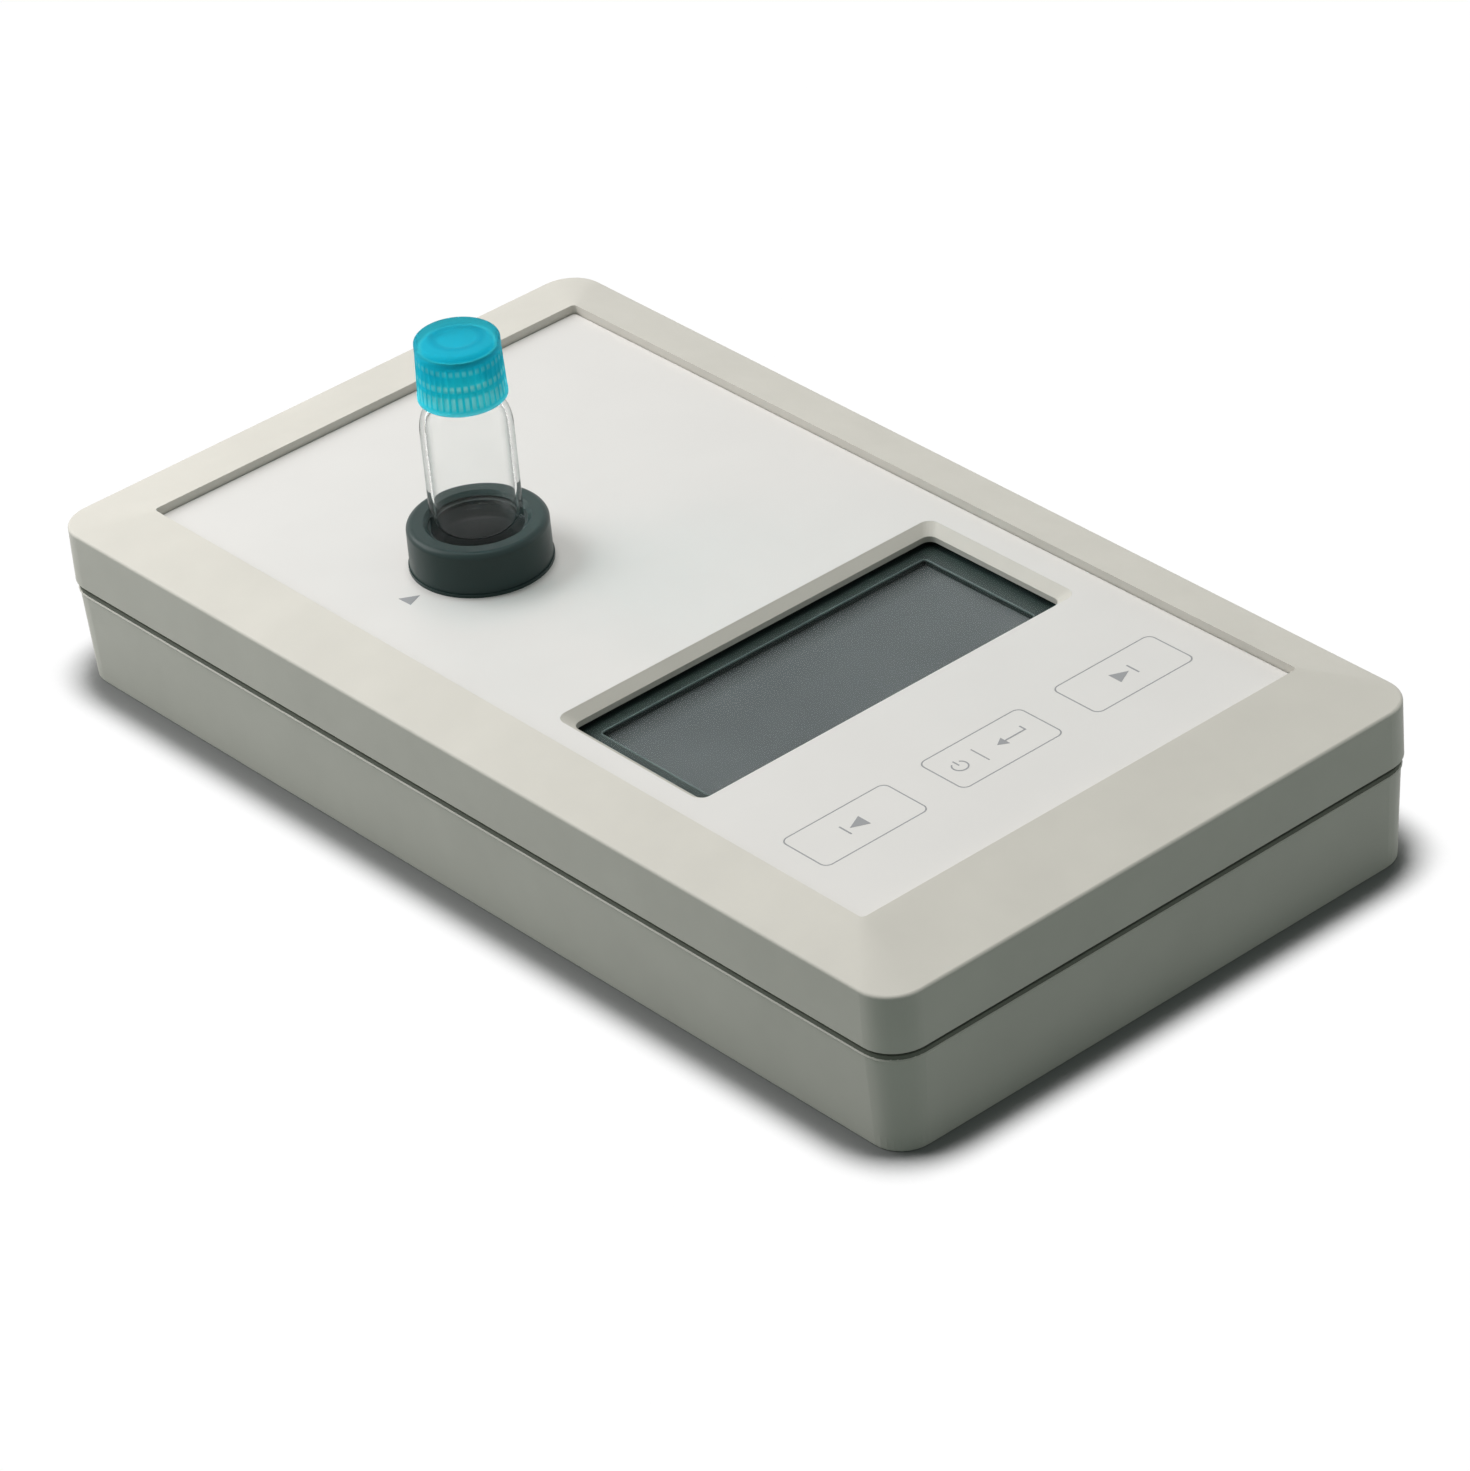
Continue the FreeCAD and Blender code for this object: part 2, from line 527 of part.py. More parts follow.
def rectangle(x, y, width, length):
    left, right = "(%s) - (%s) / 2" % (x, width), "(%s) + (%s) / 2" % (x, width)
    front, back = "(%s) - (%s) / 2" % (y, length), "(%s) + (%s) / 2" % (y, length)
    return [(left, front), (right, front), (right, back), (left, back)]


def front_foil():
    body = new_body("front_foil")
    sheet_outline = sketch_on(body, "XY_Plane", Z_SEAT)
    rounded(sheet_outline, "0", RECESS_Y, RECESS_WIDTH + " - 2 * foil_gap",
            RECESS_LENGTH + " - 2 * foil_gap", "recess_radius")
    pad(body, sheet_outline, "foil_thick")
    openings = sketch_on(body, "XY_Plane", Z_FOIL)
    rounded(openings, "0", "window_y", WINDOW_WIDTH + " + 2 * window_margin",
            "window_length + 2 * window_margin", "window_radius + window_margin")
    for label, x in KEYS:
        rounded(openings, x, "key_y", KEY_WIDTH + " + 2 * key_gap", "key_length + 2 * key_gap",
                "key_radius + key_gap")
    circle(openings, "well_x", "well_y", "spigot + 2 * spigot_gap")
    pocket(body, openings, "foil_thick")


def case_screws():
    screws = []
    for x, y in BOSSES:
        head = rod("screw_head", "screw_head_height", x, y, Z_BASE + " + screw_sink - screw_head_height")
        shank = rod("screw", "screw_length", x, y, Z_BASE + " + screw_sink")
        screws.append(joined(head, shank))
    group("case_screws", screws)


def rubber_feet():
    feet = []
    for x, y in FEET:
        feet.append(joined(rod("foot", "foot_sink", x, y, Z_BASE),
                           taper("foot - foot_narrowing", "foot", "foot_proud", x, y, "0")))
    group("rubber_feet", feet)


# Keys
def keys():
    for label, x in KEYS:
        body = new_body(label)
        place(body, x, "key_y", Z_UNDER)
        face = sketch_on(body, "XY_Plane")
        rounded(face, "0", "0", KEY_WIDTH, "key_length", "key_radius")
        pad(body, face, "plate_thick + foil_thick")
        flange = sketch_on(body, "XY_Plane")
        rounded(flange, "0", "0", KEY_WIDTH + " + 2 * key_gap + 2 * key_flange_lap",
                "key_length + 2 * key_gap + 2 * key_flange_lap", "key_radius")
        pad(body, flange, "key_flange_thick", reverse=True)
        plunger = sketch_on(body, "XY_Plane", "-key_flange_thick")
        circle(plunger, "0", "0", "plunger")
        pad(body, plunger, "plunger_length", reverse=True)


def keypad():
    board = box((PAD_WIDTH, PAD_LENGTH, "pad_board_thick"), "0", "key_y",
                Z_PAD_BOARD + " - pad_board_thick")
    holes = [rod("board_hole", "pad_board_thick", x, y, Z_PAD_BOARD + " - pad_board_thick")
             for x, y in PAD_POSTS]
    node(cut(board, *holes), "keypad_board")
    domes = [taper("dome", "dome - 3 * dome_height", "dome_height", x, "key_y", Z_PAD_BOARD)
             for label, x in KEYS]
    group("key_domes", domes)


def screws_under(label, spots, z, length):
    # pan-head screws driven up through a board whose underside is at z
    screws = []
    for x, y in spots:
        head = rod("board_screw_head", "board_screw_head_height", x, y,
                   "(%s) - board_screw_head_height" % z)
        shank = rod("board_hole - 2 * screw_gap - 2 * pilot_gap", length, x, y, z)
        screws.append(joined(head, shank))
    group(label, screws)


# Display
def display():
    pane_size = ["(%s + 2 * pane_lap)" % side for side in (WINDOW_WIDTH, "window_length")]
    node(box((*pane_size, "pane_thick"), "0", "window_y", Z_PANE), "window_pane")
    outer = box((*pane_size, "gasket_thick"), "0", "window_y", Z_BEZEL)
    inner = box((*("(%s + 2 * gasket_lap)" % side for side in (WINDOW_WIDTH, "window_length")),
                 "gasket_thick"), "0", "window_y", Z_BEZEL)
    node(cut(outer, inner), "display_gasket")

    shell = box((BEZEL_WIDTH, BEZEL_LENGTH, "bezel_height"), "0", "window_y", Z_LCD_BOARD)
    room = box((BEZEL_WIDTH + " - 2 * bezel_sheet", BEZEL_LENGTH + " - 2 * bezel_sheet",
                "bezel_height - bezel_sheet"), "0", "window_y", Z_LCD_BOARD)
    view = box((WINDOW_WIDTH + " - 2 * view_side", "window_length - 2 * view_end", "bezel_height"),
               "0", "window_y", Z_LCD_BOARD)
    node(cut(shell, room, view), "lcd_bezel")
    node(box((GLASS_WIDTH, GLASS_LENGTH, "glass_thick"), "0", "window_y", Z_GUIDE), "lcd_glass")
    node(box((GLASS_WIDTH, GLASS_LENGTH + " - 2 * strip_width - 2 * strip_gap", "light_guide_thick"),
             "0", "window_y", Z_GUIDE + " - light_guide_thick"), "lcd_light_guide")
    strips = [box((GLASS_WIDTH, "strip_width", "(%s) - (%s)" % (Z_GUIDE, Z_LCD_BOARD)), "0",
                  "window_y + (%s(%s / 2 - strip_width / 2))" % (side, GLASS_LENGTH), Z_LCD_BOARD)
              for side in ("-", "")]
    group("lcd_contact_strips", strips)
    board = box((LCD_WIDTH, LCD_LENGTH, "board_thick"), "0", "window_y",
                Z_LCD_BOARD + " - board_thick")
    holes = [rod("board_hole", "board_thick", x, y, Z_LCD_BOARD + " - board_thick")
             for x, y in LCD_POSTS]
    node(cut(board, *holes), "lcd_board")
    screws_under("lcd_screws", LCD_POSTS, Z_LCD_BOARD + " - board_thick", "board_screw_length")
    screws_under("keypad_screws", PAD_POSTS, Z_PAD_BOARD + " - pad_board_thick", "pad_screw_length")


# Measuring collar, its seal and the optical block
def collar():
    body = place(new_body("measuring_collar"), "well_x", "well_y", Z_FOIL)
    bore, groove = "(%s) / 2" % BORE, "(%s) / 2 + seal_section" % BORE
    seal_top = "collar_height - seal_depth"
    seal_base = seal_top + " - seal_section - 2 * seal_gap"
    revolve(body, [
        (bore, "-spigot_length"), ("spigot / 2", "-spigot_length"), ("spigot / 2", "0"),
        ("collar_base / 2", "0"), ("collar_base / 2", "collar_lip"),
        ("collar_base / 2 - collar_lip / 3", "collar_lip"), ("collar_top / 2", "collar_height"),
        (bore + " + collar_bevel", "collar_height"), (bore, "collar_height - collar_bevel"),
        (bore, seal_top), (groove, seal_top), (groove, seal_base), (bore, seal_base)])
    soften(body, "collar_round", ring_at("collar_top / 2", "collar_height"))

    seal = place(new_body("light_seal"), "well_x", "well_y", Z_FOIL)
    inner, outer = "vial / 2 + seal_gap", groove + " - seal_gap"
    low, high = seal_base + " + seal_gap", seal_top + " - seal_gap"
    revolve(seal, [(inner, low + " + seal_section / 4"), (outer, low), (outer, high),
                   (inner, high + " - seal_section / 4")])
    nut = place(new_body("collar_nut"), "well_x", "well_y", Z_UNDER + " - nut_thick")
    ring = sketch_on(nut, "XY_Plane")
    circle(ring, "0", "0", "nut_across")
    circle(ring, "0", "0", "spigot + 2 * thread_gap")
    pad(nut, ring, "nut_thick")
    flats = sketch_on(nut, "XY_Plane", "nut_thick")
    flat = "nut_flats / 2"
    polygon(flats, [(flat, "-nut_across / 2"), ("nut_across / 2", "-nut_across / 2"),
                    ("nut_across / 2", "nut_across / 2"), (flat, "nut_across / 2")])
    first = pocket(nut, flats, "nut_thick")
    turn = nut.newObject("PartDesign::PolarPattern", "nut_flats")
    turn.Originals = [first]
    turn.Axis = (flats, ["N_Axis"])
    turn.Angle = 360
    turn.Occurrences = int(number("nut_sides"))
    nut.Tip = turn
    doc.recompute()


def optical_block():
    height = "(%s) - (%s)" % (Z_BLOCK_TOP, Z_BLOCK)
    block = box(("block_width", "block_length", height), "well_x", "well_y", Z_BLOCK)
    left, right = "well_x - block_width / 2", "well_x + block_width / 2"
    well = rod(BORE, "(%s) - (%s)" % (Z_BLOCK_TOP, Z_WELL), "well_x", "well_y", Z_WELL)
    tools = [well]
    emitters = []
    for side in ("-", ""):
        y = "well_y + (%semitter_spacing / 2)" % side
        tools.append(rod("emitter + 2 * emitter_gap", "block_width / 2 - emitter_setback", left, y,
                         Z_BEAM, "x"))
        tools.append(rod("beam", "block_width / 2", left, y, Z_BEAM, "x"))
        lens_end = "block_width / 2 - (%s) / 2 - 2 * emitter_setback" % BORE
        tube = rod("emitter", lens_end, left, y, Z_BEAM, "x")
        flange = rod("emitter_flange", "emitter_flange_thick", left + " - emitter_flange_thick", y,
                     Z_BEAM, "x")
        emitters.append(joined(tube, flange))
    pocket_length = "detector_length + filter_thick + emitter_gap"
    pocket_start = right + " - (%s)" % pocket_length
    tools.append(rod("detector + 2 * emitter_gap", pocket_length, pocket_start, "well_y", Z_BEAM, "x"))
    tools.append(rod("beam", "block_width / 2", "well_x", "well_y", Z_BEAM, "x"))
    node(cut(block, *tools), "optical_block")
    group("emitters", emitters)
    node(rod("filter_across", "filter_thick", pocket_start, "well_y", Z_BEAM, "x"), "optical_filter")
    node(rod("detector", "detector_length", right + " - detector_length", "well_y", Z_BEAM, "x"),
         "light_detector")
    boards = (("emitter_board", left + " - emitter_flange_thick - side_board_thick / 2"),
              ("detector_board", right + " + side_board_thick / 2"))
    for label, x in boards:
        node(box(("side_board_thick", "side_board_length", "side_board_height"), x, "well_y",
                 Z_BLOCK), label)


# Vial with its screw cap
def vial():
    body = place(new_body("vial"), "well_x", "well_y", Z_VIAL)
    outer, neck = "vial / 2", "vial_neck / 2"
    inner, throat = outer + " - vial_wall", neck + " - vial_neck_wall"
    shoulder = "vial_body_height + vial_shoulder"
    top = shoulder + " + vial_neck_height"
    revolve(body, [
        ("0", "0"), (outer, "0"), (outer, "vial_body_height"), (neck, shoulder), (neck, top),
        (throat, top), (throat, shoulder + " - vial_wall / 2"), (inner, "vial_body_height - vial_wall / 2"),
        (inner, "vial_base"), ("0", "vial_base")])
    soften(body, "heel_radius", ring_at(outer, "0"))
    soften(body, "shoulder_radius", ring_at(outer, "vial_body_height"))


def cap():
    neck_top = Z_VIAL + " + vial_body_height + vial_shoulder + vial_neck_height"
    liner = node(rod("cap_bore - 2 * liner_gap", "liner_thick", "well_x", "well_y",
                     neck_top + " + liner_lift"), "cap_liner")
    body = place(new_body("vial_cap"), "well_x", "well_y",
                 neck_top + " + 2 * liner_lift + liner_thick + cap_roof - cap_height")
    revolve(body, [
        ("cap_bore / 2", "0"), ("cap_base / 2", "0"), ("cap_top / 2", "cap_height"),
        ("cap_dimple / 2", "cap_height"),
        ("cap_dimple / 2 - cap_dimple_depth", "cap_height - cap_dimple_depth"),
        ("0", "cap_height - cap_dimple_depth"), ("0", "cap_height - cap_roof"),
        ("cap_bore / 2", "cap_height - cap_roof")])
    soften(body, "cap_round", ring_at("cap_top / 2", "cap_height"))
    return liner


# Main board
def main_board():
    length = "(%s - board_front)" % BOARD_REAR
    middle = "(%s + board_front) / 2" % BOARD_REAR
    board = box((BOARD_WIDTH, length, "board_thick"), "0", middle, Z_BOARD)
    holes = [rod("board_hole", "board_thick", x, y, Z_BOARD) for x, y in BOARD_POSTS]
    node(cut(board, *holes), "main_board")
    screws = []
    for x, y in BOARD_POSTS:
        head = rod("board_screw_head", "board_screw_head_height", x, y, Z_BLOCK)
        shank = rod("board_hole - 2 * screw_gap - 2 * pilot_gap", "board_screw_length", x, y,
                    Z_BLOCK + " - board_screw_length")
        screws.append(joined(head, shank))
    group("board_screws", screws)
    group("board_chips", [
        box(("chip", "chip", "chip_height"), CHIP_X, CHIP_Y, Z_BLOCK),
        box(("chip / 2", "chip / 2", "chip_height"), CHIP_X, CHIP_Y + " + chip_pitch", Z_BLOCK),
        box(("chip / 2", "chip / 2", "chip_height"), CHIP_X, CHIP_Y + " - chip_pitch", Z_BLOCK)])
    group("board_capacitors", [
        rod("capacitor", "capacitor_height", BOARD_WIDTH + " / 2 - capacitor_side",
            "%s + %d * chip_pitch / 2" % (CHIP_Y, i), Z_BLOCK)
        for i in range(int(number("capacitor_count")))])
    node(rod("buzzer", "buzzer_height", CHIP_X, BOARD_REAR + " - buzzer_end", Z_BLOCK), "buzzer")
    node(box(("tail_width + 4 * tail_thick", "connector_depth", "connector_height"), "tail_x",
             "connector_y", Z_BLOCK), "keypad_connector")


def keypad_tail():
    # flat flexible strip: down from the keypad board, level over the tub, down into its connector
    body = new_body("keypad_tail")
    strip = sketch_on(body, "YZ_Plane", "tail_x - tail_width / 2")
    front, back = "key_y + %s / 2 - 2 * tail_thick" % PAD_LENGTH, "connector_y"
    low, high = "(%s) + tub_wall + tail_lift" % Z_TUB, Z_PAD_BOARD + " - pad_board_thick"
    foot = Z_BLOCK + " + connector_height"
    t = "tail_thick"
    polygon(strip, [
        (front, high), (front, low), ("(%s) - %s" % (back, t), low), ("(%s) - %s" % (back, t), foot),
        (back, foot), (back, "(%s) + %s" % (low, t)), ("(%s) + %s" % (front, t), "(%s) + %s" % (low, t)),
        ("(%s) + %s" % (front, t), high)])
    pad(body, strip, "tail_width")


# Batteries
def batteries():
    cells = []
    contacts = []
    first = "tub_y + hook_room / 2 - cell_pitch * (cell_count - 1) / 2"
    for i in range(int(number("cell_count"))):
        y = first + " + %d * cell_pitch" % i
        start = "tub_x - cell_length / 2 - cell_nub_length / 2"
        nub_x = start + " + cell_length" if i % 2 else start
        can_x = start if i % 2 else start + " + cell_nub_length"
        cells.append(joined(rod("cell", "cell_length", can_x, y, Z_CELL, "x"),
                            rod("cell_nub", "cell_nub_length", nub_x, y, Z_CELL, "x")))
        for side in ("-", ""):
            wall_x = "tub_x + (%s((%s) / 2 - contact_thick / 2))" % (side, TUB_WIDTH)
            plate = box(("contact_thick", "contact_width", "contact_width"), wall_x, y,
                        Z_CELL + " - contact_width / 2")
            bump_x = start if side == "-" else start + " + cell_length + cell_nub_length"
            if side == "-":
                bump_x = bump_x + " - contact_bump_length"
            bump = rod("contact_bump", "contact_bump_length", bump_x, y, Z_CELL, "x")
            contacts.append(joined(plate, bump))
    group("battery_cells", cells)
    group("battery_contacts", contacts)


def battery_door():
    body = new_body("battery_door")
    rear = TUB_REAR + " + door_lap - door_gap"
    front = TUB_FRONT + " + door_gap"
    half = "(%s) / 2 + door_lap - door_gap" % TUB_WIDTH
    plate = sketch_on(body, "XY_Plane", Z_BASE)
    polygon(plate, [("tub_x - (%s)" % half, front), ("tub_x + (%s)" % half, front),
                    ("tub_x + (%s)" % half, rear), ("tub_x - (%s)" % half, rear)])
    pad(body, plate, "door_thick")
    # hooks reach over the floor in front of the compartment
    over = Z_FLOOR + " + hook_gap - foot_proud"
    for side in ("-", ""):
        hook = sketch_on(body, "YZ_Plane", "tub_x + (%shook_x) - hook_width / 2" % side)
        polygon(hook, [
            (front, Z_BASE + " + door_thick"), (front + " + hook_thick", Z_BASE + " + door_thick"),
            (front + " + hook_thick", Z_BASE + " + %s + hook_thick" % over),
            (TUB_FRONT + " - hook_reach", Z_BASE + " + %s + hook_thick" % over),
            (TUB_FRONT + " - hook_reach", Z_BASE + " + %s" % over), (front, Z_BASE + " + %s" % over)])
        pad(body, hook, "hook_width")
    latch = sketch_on(body, "XY_Plane", Z_BASE + " + door_thick")
    polygon(latch, rectangle("tub_x", TUB_REAR + " - door_gap - hook_thick / 2", "latch_width",
                             "hook_thick"))
    pad(body, latch, "latch_height - door_thick")
    # finger grooves across the underside next to the latch
    grip = sketch_on(body, "XY_Plane", Z_BASE)
    for i in range(int(number("grip_count"))):
        polygon(grip, rectangle("tub_x", "%s - grip_inset - %d * grip_pitch" % (TUB_REAR, i),
                                "grip_width", "grip_groove"))
    pocket(body, grip, "grip_depth", up=True)


upper_shell()
lower_shell()
front_foil()
case_screws()
rubber_feet()
keys()
keypad()
display()
collar()
optical_block()
vial()
cap()
main_board()
keypad_tail()
batteries()
battery_door()
doc.recompute()

faults = [item.Name for item in doc.Objects if "Invalid" in item.State or "Error" in item.State]
for label, item in NODES.items():
    if item.Shape.isNull() or not item.Shape.isValid() or not item.Shape.Solids:
        faults.append(label)
if faults:
    raise ValueError("these objects did not come out right: " + ", ".join(faults))

os.makedirs("parts", exist_ok=True)
for label, item in NODES.items():
    item.Shape.exportStep("parts/%s.step" % label)
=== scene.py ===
"""Bench photometer with a screw-capped round vial: looks, light and camera over the frame."""
import json
import math

import bmesh
import bpy
from mathutils import Matrix, Vector


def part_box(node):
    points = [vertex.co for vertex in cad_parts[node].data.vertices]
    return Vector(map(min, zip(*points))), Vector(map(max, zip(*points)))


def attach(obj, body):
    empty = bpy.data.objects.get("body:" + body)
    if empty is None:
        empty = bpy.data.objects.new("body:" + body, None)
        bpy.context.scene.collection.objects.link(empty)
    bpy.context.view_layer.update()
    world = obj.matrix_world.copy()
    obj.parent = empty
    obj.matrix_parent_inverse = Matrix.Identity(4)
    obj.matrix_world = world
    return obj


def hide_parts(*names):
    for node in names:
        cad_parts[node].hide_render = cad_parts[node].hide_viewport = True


MM = 0.001
TURN = 2 * math.pi
MIX_FIRST, MIX_SECOND, MIX_RESULT = 6, 7, 2  # sockets of a colour mix: two colours in, one out

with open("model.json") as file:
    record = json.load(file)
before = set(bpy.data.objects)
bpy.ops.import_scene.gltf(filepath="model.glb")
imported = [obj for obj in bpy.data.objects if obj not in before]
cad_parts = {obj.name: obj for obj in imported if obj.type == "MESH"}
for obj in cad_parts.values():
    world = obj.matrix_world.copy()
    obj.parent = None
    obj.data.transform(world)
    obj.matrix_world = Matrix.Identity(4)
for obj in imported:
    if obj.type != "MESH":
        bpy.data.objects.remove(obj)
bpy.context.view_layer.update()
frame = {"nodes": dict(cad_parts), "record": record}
nodes = frame["nodes"]


# Places read from the frame
def middle(label):
    """The middle of a node's box, in metres."""
    low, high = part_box(label)
    return (low + high) / 2


WELL = middle("vial")
FOIL_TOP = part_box("front_foil")[1].z


# Material helpers: sizes in metres, colours linear
class Finish:
    """One material with a Principled shader, and short calls for the nodes that feed it."""

    def __init__(self, name):
        self.name = name
        self.material = bpy.data.materials.new(name)
        self.material.use_nodes = True
        self.tree = self.material.node_tree
        self.shader = self.tree.nodes["Principled BSDF"]
        self.output = self.tree.nodes["Material Output"]
        self.place = self.add("ShaderNodeTexCoord").outputs["Object"]

    def add(self, kind, **values):
        """A new node with those properties."""
        made = self.tree.nodes.new(kind)
        for key, value in values.items():
            setattr(made, key, value)
        return made

    def link(self, source, target):
        self.tree.links.new(source, target)

    def put(self, socket, value):
        """Gives a socket of the Principled shader a plain value."""
        self.shader.inputs[socket].default_value = value

    def feed(self, socket, source):
        """Feeds a socket of the Principled shader from another node."""
        self.link(source, self.shader.inputs[socket])

    def axes(self):
        """X, Y and Z in the object's own space."""
        split = self.add("ShaderNodeSeparateXYZ")
        self.link(self.place, split.inputs["Vector"])
        return split.outputs

    def noise(self, size, detail=3.0, roughness=0.5, squeeze=None):
        """Noise with features of about that size, squeezed so many times along each axis."""
        made = self.add("ShaderNodeTexNoise")
        made.inputs["Scale"].default_value = 1 / size
        made.inputs["Detail"].default_value = detail
        made.inputs["Roughness"].default_value = roughness
        place = self.place
        if squeeze:
            mapping = self.add("ShaderNodeMapping")
            mapping.inputs["Scale"].default_value = squeeze
            self.link(place, mapping.inputs["Vector"])
            place = mapping.outputs["Vector"]
        self.link(place, made.inputs["Vector"])
        return made.outputs["Fac"]

    def spread(self, value, low, high, start=0.3, end=0.7):
        """Maps start to low and end to high, level past both. The defaults suit noise."""
        made = self.add("ShaderNodeMapRange")
        made.inputs["From Min"].default_value = start
        made.inputs["From Max"].default_value = end
        made.inputs["To Min"].default_value = low
        made.inputs["To Max"].default_value = high
        self.link(value, made.inputs["Value"])
        return made.outputs["Result"]

    def work_out(self, operation, first, second=0.0):
        """One step of arithmetic on numbers or outputs of nodes."""
        made = self.add("ShaderNodeMath", operation=operation)
        for slot, value in zip(made.inputs, (first, second)):
            if isinstance(value, (int, float)):
                slot.default_value = value
            else:
                self.link(value, slot)
        return made.outputs["Value"]

    def blend(self, share, first, second):
        """A colour between two others, each a tuple or the output of a node."""
        made = self.add("ShaderNodeMix", data_type="RGBA")
        for slot, value in ((MIX_FIRST, first), (MIX_SECOND, second)):
            if isinstance(value, tuple):
                made.inputs[slot].default_value = (*value, 1)
            else:
                self.link(value, made.inputs[slot])
        self.link(share, made.inputs[0])
        return made.outputs[MIX_RESULT]

    def bump(self, height, depth):
        made = self.add("ShaderNodeBump")
        made.inputs["Strength"].default_value = 1.0
        made.inputs["Distance"].default_value = depth
        self.link(height, made.inputs["Height"])
        self.feed("Normal", made.outputs["Normal"])

    def show_mix(self, share, first, second):
        """Makes the surface a mix of two shaders."""
        either = self.add("ShaderNodeMixShader")
        self.link(share, either.inputs["Fac"])
        self.link(first, either.inputs[1])
        self.link(second, either.inputs[2])
        self.link(either.outputs["Shader"], self.output.inputs["Surface"])

    def light_passes(self, colour):
        """Lets the lamps' light through in that colour, where Cycles would cast a shadow."""
        through = self.add("ShaderNodeBsdfTransparent")
        through.inputs["Color"].default_value = (*colour, 1)
        to_lamp = self.add("ShaderNodeLightPath").outputs["Is Shadow Ray"]
        self.show_mix(to_lamp, self.shader.outputs["BSDF"], through.outputs["BSDF"])


def shade(colour, factor):
    """A darker or lighter tone of a colour."""
    return tuple(min(1.0, channel * factor) for channel in colour)


BLOTCH = 14 * MM
WORN_PATCH = 3 * MM
WORN = 0.04  # how far the roughness of a moulded surface varies to either side
BRUSH = 0.4 * MM
BRUSH_SQUEEZE = (1, 1, 12)
BRUSH_WORN = 0.06
SMEAR = 6 * MM
EDGE_ON = (0.5, 0.95)  # how far edge on a clear wall is seen where its painted shade starts, and is full


def moulded(name, colour, rough, grain=0.35 * MM, depth=0.01 * MM, mottle=0.03, gloss=0.5):
    """Moulded plastic or rubber: eroded grain, faint blotches and a slightly varied roughness."""
    finish = Finish(name)
    blotch = finish.spread(finish.noise(BLOTCH), 0, 1)
    finish.feed("Base Color", finish.blend(blotch, shade(colour, 1 - mottle),
                                           shade(colour, 1 + mottle)))
    finish.feed("Roughness", finish.spread(finish.noise(WORN_PATCH), rough - WORN, rough + WORN))
    finish.bump(finish.noise(grain, 2.0, 0.6), depth)
    finish.put("Specular IOR Level", gloss)
    return finish


def metal(name, colour, rough):
    """Brushed metal: streaks in tone, roughness and height."""
    finish = Finish(name)
    streak = finish.noise(BRUSH, 3.0, 0.6, BRUSH_SQUEEZE)
    finish.put("Metallic", 1.0)
    finish.feed("Base Color", finish.blend(finish.spread(streak, 0, 1), shade(colour, 0.9),
                                           shade(colour, 1.05)))
    finish.feed("Roughness", finish.spread(streak, rough - BRUSH_WORN, rough + BRUSH_WORN))
    finish.bump(streak, 0.004 * MM)
    return finish


def clear(name, colour, rough, index, coat=0.0, wall=None):
    """Clear glass or plastic whose shadow lets the light through, with an optional sheen.

    Where a wall is seen edge on, it is painted darker in the tone wall: painted shade for the dark
    edges of glass, and in part the long way the light comes through it.
    """
    finish = Finish(name)
    finish.put("Coat Weight", coat)
    finish.put("Transmission Weight", 1.0)
    finish.put("IOR", index)
    smear = finish.noise(SMEAR)
    tone = finish.blend(finish.spread(smear, 0, 1), shade(colour, 0.985), colour)
    if wall:
        # painted shade where the wall is seen edge on
        facing = finish.add("ShaderNodeLayerWeight").outputs["Facing"]
        tone = finish.blend(finish.spread(facing, 0, 1, *EDGE_ON), tone, wall)
    finish.feed("Base Color", tone)
    finish.feed("Roughness", finish.spread(smear, rough, rough + 0.02))
    finish.light_passes(shade(colour, 0.96))
    return finish


# Colours, linear
CASE = (0.70, 0.665, 0.610)
# painted shade for the strip that sits in the seam's gap
SEAM_SHADE = (0.19, 0.195, 0.165)
# a painted highlight along the bezel's inner edge
BEZEL_HIGHLIGHT_TONE = (0.060, 0.088, 0.082)
FOIL = (0.81, 0.78, 0.765)
PRINT = (0.33, 0.33, 0.345)
DARK = (0.018, 0.038, 0.036)
BOARD = (0.02, 0.13, 0.05)
BOARD_LIGHTER = (0.022, 0.145, 0.055)
BOARD_LANE = (0.05, 0.24, 0.09)
SLATE = (0.070, 0.079, 0.081)
SLATE_LIGHTER = (0.088, 0.098, 0.100)
# painted shadow tone for the display glass along its rear edge
SLATE_SHADOW = (0.008, 0.012, 0.012)
# the skirt, painted lighter than the top for the light that its thin wall lets through
TURQUOISE = (0.016, 0.74, 0.90)
# a deeper tone for the random drift of the skirt, and for the top, painted in shade against the
# skirt
TURQUOISE_DRIFT_AND_TOP_SHADE = (0.03, 0.46, 0.56)
# painted shade in a ring round the dish on top
TURQUOISE_RING_SHADE = (0.012, 0.33, 0.45)
# painted light that shines through at the lip and between the ribs
TURQUOISE_SHINE = (0.36, 0.98, 1.0)
TURQUOISE_LIGHT = (0.4, 0.92, 0.96)  # the light that comes through the cap

LANE_PITCH = 9 * MM
LANE_WIDTH = 0.06  # as a share of the pitch
GLASS_DRIFT, GLASS_WAVE = 40 * MM, 25 * MM
REAR_SHADOW = (-17.5 * MM, -12.5 * MM)  # Y at which the painted shadow of the window's rear wall starts on the display glass, and is deepest


